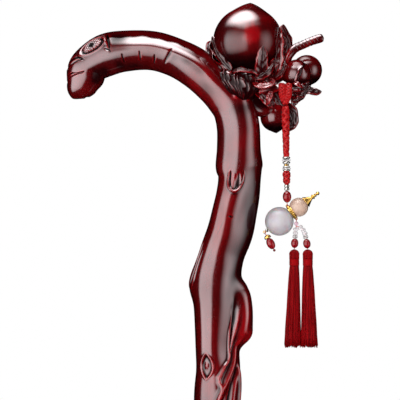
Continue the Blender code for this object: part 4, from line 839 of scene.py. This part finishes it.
def big_peach_lacquer(facing, shade):
    """Painted shade and light of the big peach, and its dullness: a slanting highlight on top shaped by the
    gloss, and a painted glow, a brighter red patch in front, with painted shade round it.
    """
    x, y, z = np.moveaxis(facing, -1, 0)
    top = eased(z * 3.0 - 0.9)
    slant = (z - 0.7) * math.cos(HIGHLIGHT_SLANT) - (x - 0.05) * math.sin(HIGHLIGHT_SLANT)
    band = eased((np.abs(slant) - 0.12) / 0.16) * eased(z * 5.0 - 1.8)
    dull = 0.3 + 0.3 * eased(-2.0 * z) - 0.3 * top + 0.92 * band
    ragged = 0.054 * np.sin(x * 31.0 + 1.0) + 0.03 * np.sin(x * 67.0)
    inside = np.hypot((x - GLOW_MIDDLE[0]) / GLOW_SIZE[0], (z + ragged - GLOW_MIDDLE[1]) / GLOW_SIZE[1])
    # Painted glow in front; painted shade elsewhere except on top
    lit = (1.0 - eased(inside * 1.6 - 0.8)) * (y < 0) * eased((z + 0.34) / 0.4)
    return shade - 0.12 * (1.0 - lit) * (1.0 - top) + 0.25 * lit, dull


def peach(name, centre, radius, tip, up, cleft, squash, cleft_depth, reach):
    """A carved peach: a ball drawn out to a point along up, with a cleft on the side cleft points to."""
    up, cleft = unit(up), np.array(cleft, float)
    side = unit(cleft - up * (cleft @ up))
    lat, lon = np.linspace(0.0, math.pi, 72)[:, None], full_turn(112)[None, :]
    away = np.abs(turn_between(np.degrees(lon), 0.0)) / 13.0
    sunk = 1.0 - cleft_depth * np.exp(-(away**1.5)) * np.clip(np.sin(lat) * 2.0, 0.0, 1.0)
    ring = radius * np.sin(lat) * sunk
    rise = tip * np.clip(1.0 - lat / reach, 0.0, 1.0) ** 1.4
    height = (radius * squash * np.cos(lat) + rise) * (1.0 + (sunk - 1.0) * 0.3)
    grid = HEAD + centre + ring[..., None] * circle(lon, side, np.cross(up, side)) + height[..., None] * up
    facing = unit(grid - grid.reshape(-1, 3).mean(axis=0))
    z = facing[..., 2]
    # Painted light and shade: lighter on top, darker in the cleft and darker underneath
    shade = 0.62 + 0.12 * eased(z * 2.0 - 0.6) - 0.5 * bell(away) - 0.7 * eased(-1.6 * z - 0.35)
    dull = 0.12 + 0.3 * eased(-2.0 * z) + 0.68 * eased(z * 3.0 - 0.9)
    if name == "big_peach":
        shade, dull = big_peach_lacquer(facing, shade)
    return piece(name, [grid], LACQUER, grid_faces, np.clip(shade, 0.0, 1.0), dull)


def sheet(name, top, bottom, shade, back_shade):
    """A thin closed piece between two grids of points from HEAD."""
    grid = HEAD + np.concatenate([top, bottom[:, ::-1]], axis=1)
    return piece(name, [grid], LACQUER, shade=np.hstack([shade, np.full_like(shade, back_shade)]))


def leaf(name, points, width, facing, cup, ripple, veins, twist=0.0, gloss=0.36):
    """A carved leaf along a curve of points, with midrib, side veins, a cupped section and a wavy edge."""
    path = spread(smooth_rows(points, 12), 46)
    t, u = np.linspace(0.0, 1.0, 46)[:, None], np.linspace(-1.0, 1.0, 25)[None, :]
    tangents = unit(np.gradient(path, axis=0))
    across = unit(np.cross(tangents, facing))
    flat, upright = across[:, None], np.cross(across, tangents)[:, None]
    roll = np.radians(twist) * (t - 0.5)
    side, out = circle(roll, flat, upright), circle(roll + math.pi / 2, flat, upright)
    outline = np.clip(1.0 - np.abs(2.0 * t**0.85 - 1.0) ** 2.4, 0.0, 1.0) ** 0.5
    half = 0.5 * width * np.maximum(outline * (1.0 + 0.03 * np.sin(t * veins * math.tau)), 0.06)
    vein = np.cos((t * veins - np.abs(u) * 1.1) * math.tau)
    groove, rim = bell(u / 0.12), bell((np.abs(u) - 0.84) / 0.14)
    wave = ripple * u**2 * np.sin(t * veins * math.pi + np.sign(u) * 1.2)
    height = wave - 2.0 * cup * u**2 - 0.14 * groove + 0.12 * rim + 0.03 * vein * (1.0 - u**8)
    top = path[:, None] + (half * u)[..., None] * side + (half * height)[..., None] * out
    thick = LEAF_THICKNESS * (0.35 + 0.65 * (1.0 - np.abs(u) ** 3))
    depth = thick * np.sin(math.pi * (0.08 + 0.86 * t)) ** 0.5
    # Painted shade in the midrib groove and painted highlight on the raised rims, lighter towards the tip.
    # gloss is the base of this shade, so it sets how bright as well as how glossy the leaf is, and the glint
    # leaves are painted bright
    shade = np.clip(gloss + 0.03 * vein - 0.2 * groove + 0.5 * rim + 0.1 * t, 0.0, 1.0)
    return sheet(name, top, top - out * depth[..., None], shade, 0.3)


def branch(name, stations, knobs, painted_shade, seed):
    """A carved branch with low lumps, painted with its own level of shade and lighter on the lumps."""
    rows = smooth_rows(stations, 10)
    count = max(8, int(travelled(rows)[-1] / 0.7))
    rows = spread(rows, count)
    t, turn = np.arange(count)[:, None] * 0.7, full_turn(28)[None, :]
    rings = tube_grid(rows[:, :3], rows[:, 3], turn.size)
    chance = np.random.default_rng(seed)
    lump = sum(
        np.sin(t / chance.uniform(1.5, 4.0) + turn * chance.integers(1, 4) + chance.uniform(0, 6.3))
        for _ in range(4)
    )
    rings += (rings - rows[:, None, :3]) * (lump * knobs)[..., None]
    # Painted shade and light: the branch's own level of shade, lighter on its lumps
    return piece(name, [HEAD + rings], LACQUER, shade=np.clip(painted_shade + lump * 0.08, 0.0, 1.0))


def fan():
    """The crinkled cup-shaped leaf that hangs in front of the fork."""
    t, u = np.linspace(0.0, 1.0, 60)[:, None], np.linspace(-1.0, 1.0, 181)[None, :]
    crinkled = u + 0.09 * np.sin(5 * u + 1.0) + 0.05 * np.sin(13 * u + 2.0)
    crinkled = crinkled + 0.07 * t * np.sin(7 * t + 6 * u) + 0.025 * np.sin(21 * t + 9 * u)
    saw = (crinkled * FLUTES) % 1.0
    fold = np.minimum(saw / 0.8, (1.0 - saw) / 0.2) * (0.75 + 0.25 * np.sin(8 * u + 12 * t))
    ragged = 1.0 + 0.07 * fold * t + 0.03 * np.sin(11 * u + 0.5) * t
    half, bend = 12.3 * (1.0 - (1.0 - t) ** 2.6) ** 0.7 + 1.0, 1.35
    x = 19.6 - 3.2 * t + half * np.sin(u * bend) / math.sin(bend)
    z = -3.5 + 20.5 * t * ragged - 2.0 * (1.0 - np.cos(u * bend)) * t
    belly = 4.6 * np.sin(math.pi * np.clip(t * 0.8 + 0.1, 0, 1)) * np.cos(u * bend)
    y = -12.6 - belly - fold * np.clip(t * 2.0, 0.1, 1.0) + 8.4 * np.clip(t - 0.85, 0.0, 1.0)
    top = np.stack([x, y, z], axis=-1)
    # Painted shade in the valleys of the folds and painted highlight on their crests and top ends
    shade = 0.08 + 0.62 * fold**1.5 + 0.4 * eased((t - 0.75) * 4.0) * fold
    return sheet("fan_leaf", top, top + (0.0, 1.6, 0.0), shade, 0.2)


def head():
    """Fruit, leaves and twigs, which ride with the cane."""
    spots = [HEAD + (x, -2.5, z) for x, z in TWIG_RINGS]
    fruit = [peach(*row) for row in PEACHES]
    rings = wire_rings("twig_rings", spots, (0.93, 0, 0.36), 2.72, 0.42, LACQUER, 32, 8, (0, 0, -1), 0.55)
    made = [*fruit, rings, fan()]
    made += [branch(*row, seed) for seed, row in enumerate(BRANCHES, start=20)]
    made += [leaf(*row) for row in LEAVES]
    made += [leaf(*row, GLINT_FACING, 0.08, 0.06, 3, gloss=0.85) for row in GLINTS]
    dress("cane", "lacquered_wood", "carved_cane", *made)


# The foot


def foot():
    """The rubber ferrule and the washer in it."""
    bore, wall = 10.1, 12.9
    profile = [(0, 0)]
    for groove in (6, 10):
        profile += [(groove - 0.7, 0), (groove - 0.7, 1.2), (groove + 0.7, 1.2), (groove + 0.7, 0)]
    profile += [(13.8, 0), (14.5, 0.3), (15, 1.2), (15, 6), (14.6, 7.2), (13.4, 10.4)]
    profile += [(wall, 12.5), (wall, 31.6), (wall + 0.5, 32.2), (wall + 0.7, 33.2), (wall + 0.6, 35)]
    profile += [(wall, 36), (bore + 0.6, 36), (bore, 35.5), (bore, 8), (0, 8)]
    dress("cane", "rubber", "rubber_ferrule", turned("foot_rubber", profile, RUBBER, (0, 0, 0), segments=96))
    frame["nodes"]["ferrule_washer"].material_slots[0].material = STEEL


# The charm

BAR = joint_place("charm_swing")
SWAY = joint_place("charm_sway")
DOWN = unit(SWAY - BAR)
TILT = joint_place("gourd_tilt")
JADE_PLACE = joint_place("jade_bead_spin")
BULB_PLACE = joint_place("wood_bead_spin")
GOURD_UP = unit(BULB_PLACE - JADE_PLACE)
# The waist ring's middle: on the gourd's axis, as far from the jade's middle as the model has it
WAIST = JADE_PLACE + GOURD_UP * ((centre_of("waist_ring") - JADE_PLACE) @ GOURD_UP)

THREAD_RADIUS = 0.26
STRING_BORE, PIN_BORE = 0.5, 0.9
EYE_RADIUS, CORD_LOOP, GOLD_LOOP = 0.8, 0.25, 0.3
BEAD_GAP = 0.3
BULB_RADIUS = 6.6

# One loop of the hitch, from the bar's middle, and the radii of the weave below it
HITCH_LOOP = (
    (0.9, -1, -7.4), (1.7, -1.9, -5.2), (2.2, -2.9, -2.6), (2.3, -3.1, 0), (2.35, -2.2, 2.2), (2.3, 0, 3.1),
    (2.2, 2.2, 2.1), (2.1, 3, -0.4), (1.6, 2.2, -4), (0.8, 1, -7.2),
)
HITCH_RADII = (4, 3.7, 3.1, 2.5, 1.8)
# The braid's radius at shares of its length
BRAID_TOP_RADIUS = 2.5
BRAID_SHAPE = ((0, 0.06, 0.35, 1), (1.8, BRAID_TOP_RADIUS, BRAID_TOP_RADIUS, 1.8))
# The double knot's radii from its top to its bottom, and the profile of its core
KNOT_RADII = (1.4, 2.5, 2.7, 2.6, 2.1, 2.4, 2.5, 2.1, 1.1)
KNOT_CORE = ((0.5, -4.3), (1.2, -3.6), (1.8, -1.8), (1.5, 0), (2, 2), (1.3, 3.7), (0.5, 4.3))
# Radius and height of the cone's stem above its flare
CONE_STEM = (
    (1.1, 0.5), (1.7, 0.8), (1.8, 1.1), (1.7, 1.4), (1.1, 1.8), (1, 3), (1.3, 3.3), (1, 3.6), (0.9, 3.6),
)
# Radius and height of the tail's cap
TAIL_CAP = (
    (0.5, -0.26), (1.3, -0.65), (2, -1.3), (2.3, -1.04), (2.2, 0), (1.8, 0.65), (1, 1.17), (0.8, 1.3),
    (0.5, 1.3),
)


def plait(name, path, radii, strand, pitch, pairs, flat=1.0):
    """A braid of pairs of strands that cross over and under each other along a path."""
    total = travelled(path)[-1]
    places = spread(path, int(total / (strand * 0.55)))
    sides, others = untwisted(places)
    run = np.linspace(0.0, total, len(places))
    radii = np.interp(run, np.linspace(0.0, total, len(radii)), radii)
    paths, shades = [], []
    chance = np.random.default_rng(7)
    for way, shift in ((1, 0.0), (-1, math.pi)):
        for k in range(pairs):
            turn = way * math.tau * run / pitch + (math.tau * k + shift) / pairs
            beat = np.sin(run / pitch * math.tau * pairs + shift + k * math.pi)
            out = (radii - strand * 0.7) * (1.0 + 0.32 * beat * strand / radii)
            paths.append(places + out[:, None] * circle(turn, sides, flat * others))
            shades.append(chance.uniform(0.35, 0.75))
    return tubes(name, paths, strand, CORD, shades=shades)


def hitch():
    """The cord looped over the bar twice and drawn together below it."""
    made = []
    for side, name in ((-1, "left"), (1, "right")):
        path = smooth_rows(np.array(HITCH_LOOP) * (side, 1, 1), 8) + BAR
        made.append(plait(f"{name}_hitch_loop", path, (2.3,), 0.72, 6.0, 3, 0.6))
    stem = BAR + np.outer(np.linspace(-3.6, -10.3, 16) / DOWN[2], DOWN)
    made.append(plait("hitch_weave", stem, HITCH_RADII, 0.8, 8.6, 3, 0.8))
    dress("hitch", "red_cord", "cord_hitch", *made)


def braid():
    """The free braid between the hitch and the beads."""
    top, end = (SWAY + DOWN * ((z - SWAY[2]) / DOWN[2]) for z in box_of("braided_cord")[::-1, 2])
    share = np.linspace(0.0, 1.0, 40)
    line = top + (end - top) * share[:, None]
    made = plait("braid", line, np.interp(share, *BRAID_SHAPE), 1.25, 11.0, 2)
    dress("cord", "red_cord", "braided_cord", made)
    return made, line


def rondelle(node, body, up, height, gems=11):
    """Two metal rims with a row of small stones between them."""
    low, high = box_of(node)
    centre, radius, half = (low + high) / 2, (high[1] - low[1]) / 2, height / 2
    rim = height * 0.26
    lower = [(0.8, -half), (0.93, rim * 0.15 - half), (0.96, rim * 0.5 - half)]
    lower += [(0.9, rim - half), (0.72, rim - half)]
    sides = [(radius * share, z) for share, z in lower + [(share, -z) for share, z in lower[::-1]]]
    profile = [(STRING_BORE, -half), *sides, (STRING_BORE, half)]
    metal = turned(f"{node}_metal", profile, SILVER, centre, up, 48)
    up, side, other = directions(up)
    size = min((height - 2 * rim) * 0.55, math.pi * radius * 0.8 / gems)
    lat = np.linspace(0.0, math.pi, 6)[:, None]
    balls = [
        centre + out * (radius - size * 0.55)
        + size * circle(lat, out, circle(full_turn(8), up, np.cross(out, up)))
        for out in circle(full_turn(gems), side, other)
    ]
    stones = piece(f"{node}_stones", balls, CRYSTAL, grid_faces, smooth=False)
    return dress(body, "silver", node, metal, stones)


def oval(name, node, body, up, radius, height, look, slot, segments=56, smooth=True):
    """An oval bead on its node's place."""
    start = math.asin(STRING_BORE / radius)
    profile = ball_rows(radius, start, math.pi - start, 33, height / 2 / math.cos(start))
    return dress(body, slot, node, turned(name, profile, look, centre_of(node), up, segments, smooth))


def ringed(name, node, body, up, radius, height, look, slot, rings, bore=STRING_BORE):
    """A small tube of round rings."""
    step = height / rings
    bulge = [(radius * (0.8 + 0.2 * math.sin(math.pi * t)), step * t) for t in np.linspace(0.02, 0.98, 9)]
    rows = [(across, -height / 2 + i * step + rise) for i in range(rings) for across, rise in bulge]
    profile = [(bore, -height / 2), *rows, (bore, height / 2)]
    return dress(body, slot, node, turned(name, profile, look, centre_of(node), up, 40))


def knot():
    """A double knot of the cord: crossed turns in two lobes."""
    centre = centre_of("cord_knot")
    line = centre - DOWN * np.linspace(4.6, -4.6, 24)[:, None]
    made = plait("double_knot", line, KNOT_RADII, 0.75, 9.0, 3)
    core = turned("knot_core", KNOT_CORE, CORD, centre, -DOWN, 24)
    return dress("cord", "red_cord", "cord_knot", made, core)


def loop(name, place, axis=(0, 1, 0), wire=GOLD_LOOP, look=GOLD):
    return wire_rings(name, [place], axis, EYE_RADIUS, wire, look)


def cord_loop(name, place):
    return loop(name, place, (1, 0, 0), CORD_LOOP, CORD)


def bead_chain():
    """The braid, the beads below it and the thread that ends in a loop at the gourd."""
    made, line = braid()
    up = -DOWN
    pieces = rondelle("upper_rondelle", "cord", up, 4.6) + rondelle("lower_rondelle", "cord", up, 3.2)
    pieces += ringed("gold_ring", "gold_spacer", "cord", up, 1.9, 1.4, GOLD, "gold", 1)
    pieces += knot()
    pieces += ringed("silver_rings", "silver_spacer", "cord", up, 1.8, 4.2, SILVER, "silver", 2)
    pieces += oval("oval_red_bead", "oval_bead", "cord", up, 3.0, 8.1, RED_BEAD, "red_bead")
    end = TILT + (0.0, 0.0, 0.2) - DOWN * EYE_RADIUS
    string = tubes("chain_string", [[line[-1] + DOWN * BEAD_GAP, end]], THREAD_RADIUS, CORD)
    pieces += dress("cord", "red_cord", "bead_thread", string, cord_loop("chain_string_loop", TILT))


def ball(name, node, body, slot, look, place, radius, low, high):
    """A round bead with a flat round each end of its bore."""
    first, last = math.asin(low / radius), math.pi - math.asin(high / radius)
    rows = ball_rows(radius, first, last, 49)
    profile = [(PIN_BORE, rows[0][1]), *rows, (PIN_BORE, rows[-1][1])]
    dress(body, slot, node, turned(name, profile, look, place, GOURD_UP, 96))


def waist():
    """An openwork ring of petals between two wires, with an eye at each side."""
    _, side, other = directions(GOURD_UP)
    turns = np.linspace(0.0, math.tau, 97)
    around = circle(turns, side, other)
    rings = [
        tube_grid(WAIST + radius * around + level * GOURD_UP, wire, 8)
        for level, radius, wire in ((-0.9, 4.7, 0.35), (0.9, 4.7, 0.35), (0.0, 3.4, 0.5))
    ]
    petals = WAIST + (4.6 + 0.6 * np.cos(turns * 20))[:, None] * around
    rings += [
        tube_grid(petals + np.outer(0.8 * np.sin(turns * 10 + way), GOURD_UP), 0.32, 8)
        for way in (0.0, math.pi)
    ]
    web = ((PIN_BORE, -0.25), (3.6, -0.25), (4, 0), (3.6, 0.25), (PIN_BORE, 0.25))
    dress(
        "gourd", "gold", "waist_ring", piece("waist_openwork", rings, GOLD, shade=1.0),
        turned("waist_web", web, GOLD, WAIST, GOURD_UP, 48),
        loop("upper_eye_ring", TILT), loop("lower_eye_ring", joint_place("strand_sway")),
    )


def gourd():
    """Jade bead, wood bead, the ring between them, the trumpet-shaped cap, and the pin through them."""
    ball("jade_ball", "jade_bead", "jade", "white_jade", JADE, JADE_PLACE, 10.0, 2.0, 3.0)
    ball("wood_ball", "wood_bead", "bulb", "beige_wood", PALE_WOOD, BULB_PLACE, BULB_RADIUS, 2.5, 2.5)
    waist()
    seat = BULB_RADIUS + BEAD_GAP
    inside = ball_rows(seat, math.asin(PIN_BORE / seat), math.asin(3.6 / seat), 9)
    inside = [(radius, -z) for radius, z in inside]
    rim, flare = inside[-1][1], 5.2
    profile = inside + [(1.1 + 3.1 * (1 - t) ** 1.2, rim + flare * t) for t in np.linspace(0.0, 1.0, 17)]
    profile += [(radius, rim + flare + rise) for radius, rise in CONE_STEM]
    cap = turned("cone_trumpet", profile, GOLD, BULB_PLACE, GOURD_UP, 96, flutes=(0.025, 12))
    dress("gourd", "gold", "cone_cap", cap)
    eye, tip_radius = joint_place("tail_swing"), 1.3
    tip = BULB_PLACE + GOURD_UP * (profile[-1][1] + BEAD_GAP + tip_radius)
    shank = tubes("pin_shank", [[eye + GOURD_UP * EYE_RADIUS, WAIST, tip]], 0.6, GOLD, 12)
    end = turned("pin_tip", ball_rows(tip_radius, 0.02, math.pi - 0.02, 21), GOLD, tip, GOURD_UP, 32)
    dress("gourd", "gold", "gourd_pin", shank, end, loop("pin_eye", eye))
    ringed("grey_spacer", "pin_spacer", "gourd", GOURD_UP, 1.3, 1.2, SILVER, "silver", 1, PIN_BORE)


def tail():
    """The cap and red bead under the jade bead."""
    top, bead = joint_place("tail_swing"), centre_of("tail_bead")
    up = unit(top - bead)
    cap = turned("tail_cap_gold", TAIL_CAP, GOLD, centre_of("tail_cap"), up, 48, flutes=(0.05, 8))
    dress("tail", "gold", "tail_cap", cap)
    height, knot_radius = 8.2, 0.9
    oval("tail_red_bead", "tail_bead", "tail", up, 2.8, height, RED_BEAD, "red_bead")
    end = bead - up * (height / 2 + BEAD_GAP + knot_radius)
    string = tubes("tail_string", [[top - up * 2 * EYE_RADIUS, bead, end]], THREAD_RADIUS, CORD)
    eye = cord_loop("tail_string_loop", top - up * EYE_RADIUS)
    knot = turned("tail_end_knot", ball_rows(knot_radius, 0.02, math.pi - 0.02, 17), CORD, end, up, 24)
    dress("tail", "red_cord", "tail_thread", string, eye, knot)


def strands():
    """The pink bead, the forked thread, crystals, rondelles and red beads of the two strands."""
    top, pink = joint_place("strand_sway"), centre_of("pink_bead")
    fork = pink - (0.0, 0.0, 1.8)
    oval("pink_round", "pink_bead", "strands", (0, 0, 1), 1.5, 2.8, PINK, "pink_glass", 40)
    threads = [[top - (0.0, 0.0, 2 * EYE_RADIUS), pink, fork]]
    for side, count in (("left", 2), ("right", 3)):
        nodes = [f"{side}_crystal_{i + 1}" for i in range(count)] + [f"{side}_rondelle", f"{side}_bead"]
        places = [fork, *(centre_of(node) for node in nodes), joint_place(f"{side}_tassel_swing")]
        threads.append(smooth_rows(places, 6))
        for i, node in enumerate(nodes, start=1):
            up = unit(places[i - 1] - places[i + 1])
            if "crystal" in node:
                oval(f"{node}_cut", node, "strands", up, 1.8, 3.0, CRYSTAL, "crystal", 10, False)
            elif "rondelle" in node:
                rondelle(node, "strands", up, 2.0, 9)
            else:
                oval(f"{node}_red", node, "strands", up, 2.6, 6.6, RED_BEAD, "red_bead", 48)
    string = tubes("strand_strings", threads, THREAD_RADIUS, CORD)
    eye = cord_loop("strand_loop", top - (0.0, 0.0, EYE_RADIUS))
    dress("strands", "red_cord", "strand_thread", string, eye)


# The tassels: a wound head over a skirt of loose yarn. Heights are from where the tassel hangs

NECK_RADIUS, WINDING_START, WINDING_END = 3.3, 6.8, 11.2
DOME_RADIUS, DOME_TOP = 3.4, 0.3
SKIRT_DRIFT, SKIRT_TUCK = 1.08, 0.8


def round_axis(radius, angle, z):
    return np.column_stack([radius * np.cos(angle), radius * np.sin(angle), z])


def tassel(side, seed):
    """A head wound with thread over a skirt of several hundred strands of yarn."""
    top, body = joint_place(f"{side}_tassel_swing"), f"{side}_tassel"
    lat = np.linspace(0.1, 1.5, 14)
    dome = [(0, -DOME_TOP), *zip(DOME_RADIUS * np.sin(lat), DOME_RADIUS * (np.cos(lat) - 1) - DOME_TOP)]
    dome += [(NECK_RADIUS, -5), (3, -6.2), (3, 0.4 - WINDING_END), (0, -WINDING_END)]
    core = turned(f"{side}_head_core", dome, YARN, top, segments=40)
    paths, shades = [], []
    chance = np.random.default_rng(seed)
    t = np.linspace(0.06, 1.0, 14)
    radius = np.append(3.45 * np.sin(1.45 * t), [NECK_RADIUS] * 4)
    z = np.append(DOME_RADIUS * (np.cos(1.45 * t) - 1) - DOME_TOP, np.linspace(-4.2, -WINDING_START, 4))
    for turn in full_turn(54):
        wobble = chance.uniform(-0.05, 0.05)
        paths.append(round_axis(radius, turn + wobble * np.append(t, [1.0] * 4), z) + top)
        shades.append(chance.uniform(0.3, 0.9))
    yarn = tubes(f"{side}_head_yarn", paths, 0.22, YARN, 6, shades)
    turns = np.linspace(0, math.tau * 13, 13 * 28)
    wrap = round_axis(NECK_RADIUS, turns, np.linspace(-WINDING_START, -WINDING_END, len(turns))) + top
    winding = tubes(f"{side}_head_winding", [wrap], 0.21, YARN, 6)
    dress(body, "red_silk", f"{side}_tassel_head", core, yarn, winding)
    skirt(side, body, chance, seed)


def skirt(side, body, chance, seed):
    """The loose yarn of a tassel."""
    low, high = box_of(f"{side}_tassel_skirt")
    neck = joint_place(f"{side}_tassel_swing")
    drift = math.copysign(SKIRT_DRIFT, (low[0] + high[0]) / 2 - neck[0])
    upper = high[2] + SKIRT_TUCK
    t = np.linspace(0.0, 1.0, 12)
    paths, shades = [], []
    for k in range(330):
        turn = chance.uniform(0, math.tau)
        share = math.sqrt(chance.uniform(0.05, 1.0)) if k > 150 else chance.uniform(0.9, 1.0)
        end = 0.988 - 0.012 * math.sin(5.0 * turn + seed) - 0.035 * chance.uniform(0.0, 1.0)
        angle = turn + chance.uniform(-0.25, 0.25) * t
        phase, wave = chance.uniform(0, math.tau), chance.uniform(0.05, 0.28)
        path = round_axis(share * (2.9 + 2.8 * t**0.7), angle, upper - end * (upper - low[2]) * t)
        path[:, 0] += neck[0] + drift * t + wave * t * np.sin(t * 9 + phase)
        path[:, 1] += neck[1] + wave * t * np.cos(t * 8 + phase)
        paths.append(path)
        shades.append(chance.uniform(0.15, 0.95))
    made = tubes(f"{side}_skirt_yarn", paths, 0.24, YARN, 5, shades)
    dress(body, "red_silk", f"{side}_tassel_skirt", made)


# The studio, in metres

VIEW_CENTRE = Vector((-0.0105, 0.0, 0.7622))
VIEW_WIDTH = 0.28
CAMERA_DISTANCE = 1.6
SENSOR = 36.0
FLOOR_HALF = 3.0

# Lights: name, azimuth, elevation, distance, width, height, radiance, share of each side that fades out,
# whether they light the cane without a reflection of their own. The others are seen in reflections alone
LIGHTS = (
    ("left_softbox", -44, -2, 1.1, 2.5, 2.2, 3.5, (0.26, 0.4), False),
    ("right_softbox", 62, 2, 1.1, 1.2, 1.6, 2.4, (0.5, 0.45), False),
    ("top_softbox", -60, 79, 0.85, 1.5, 1.2, 13.0, (0.45, 0.35), False),
    ("front_key", -5, 8, 1.3, 0.9, 0.9, 7.0, (0.1, 0.1), True),
    ("back_key", 178, 22, 1.3, 0.9, 0.9, 6.0, (0.1, 0.1), True),
)
# Dark flags round the studio that only reflections see: radius and height (mm) of a drum over a floor
FLAG_RINGS = ((50, 12), (1500, 12), (1500, 2200))


def camera():
    lens = bpy.data.cameras.new("camera")
    lens.sensor_width = SENSOR
    lens.lens = SENSOR * CAMERA_DISTANCE / VIEW_WIDTH
    lens.clip_start, lens.clip_end = 0.01, 50.0
    made = bpy.data.objects.new("camera", lens)
    made.location = VIEW_CENTRE + Vector((0.0, -CAMERA_DISTANCE, 0.0))
    made.rotation_euler = (math.pi / 2, 0.0, 0.0)
    bpy.context.scene.collection.objects.link(made)
    bpy.context.scene.camera = made


def softbox(name, azimuth, elevation, distance, width, height, radiance, feather, key):
    """A rectangular light aimed at the cane's head, from an azimuth of 0 in front, positive to the right."""
    light = bpy.data.lights.new(name, "AREA")
    light.shape = "RECTANGLE"
    light.size, light.size_y = width, height
    light.energy = radiance * math.pi * width * height
    a, e = math.radians(azimuth), math.radians(elevation)
    direction = Vector((math.sin(a) * math.cos(e), -math.cos(a) * math.cos(e), math.sin(e)))
    made = bpy.data.objects.new(name, light)
    made.location = VIEW_CENTRE + direction * distance
    made.rotation_euler = direction.to_track_quat("Z", "Y").to_euler()
    made.visible_camera, made.visible_diffuse, made.visible_glossy = False, key, not key
    tree = Tree(light)
    spot = tree.add("SeparateXYZ", Vector=tree.add("NewGeometry").outputs["Parametric"]).outputs
    fades = [
        tree.mapped(tree.join("PINGPONG", spot[side], 0.5), 0, 1, 0, share, interpolation_type="SMOOTHSTEP")
        for side, share in zip("XY", feather)
    ]
    tree.fill(tree.nodes["Emission"], {"Strength": tree.join("MULTIPLY", *fades)})
    bpy.context.scene.collection.objects.link(made)


def surroundings():
    """White for the camera and in reflections, and dim as a light."""
    world = bpy.data.worlds.new("studio")
    tree = Tree(world)
    ray = tree.add("LightPath").outputs
    seen = tree.join("MAXIMUM", ray["Is Camera Ray"], ray["Is Glossy Ray"])
    seen = tree.join("MAXIMUM", seen, ray["Is Transmission Ray"])
    values = {"Color": (1.0, 1.0, 1.0, 1.0), "Strength": tree.mapped(seen, 0.22, 1.0)}
    tree.fill(tree.nodes["Background"], values)
    bpy.context.scene.world = world


def lidded_faces(rows, columns, start=0):
    """Faces of a grid with a face over its last row alone."""
    *sides, _, lid = capped_faces(rows, columns, start)
    return [*sides, lid]


def studio():
    """Floor, white surroundings, dark flags that only reflections see, and five lights."""
    paper = Look("floor_paper", (0.82, 0.82, 0.82), 0.9).made
    corners = np.array([[(-1, -1, 0), (1, -1, 0), (1, 1, 0), (-1, 1, 0)]]) * FLOOR_HALF / MM
    piece("floor", [corners], paper, lambda *_: [[0, 1, 2, 3]])
    surroundings()
    black = Look("flag_black", (0.004, 0.004, 0.004), 0.5, Specular_IOR_Level=0.0).made
    turns = full_turn(72)
    around = np.column_stack([np.sin(turns), np.cos(turns), 0 * turns])
    drum = np.array([radius * around + (0, 0, z) for radius, z in FLAG_RINGS])
    flag = piece("reflection_flags", [drum], black, lidded_faces, smooth=False)
    flag.visible_camera = flag.visible_diffuse = flag.visible_transmission = False
    flag.visible_volume_scatter = flag.visible_shadow = False
    for row in LIGHTS:
        softbox(*row)


camera()
bead_chain()
hitch()
limb()
head()
foot()
gourd()
tail()
strands()
tassel("left", 11)
tassel("right", 12)
studio()

bpy.context.scene.view_settings.view_transform = "Standard"
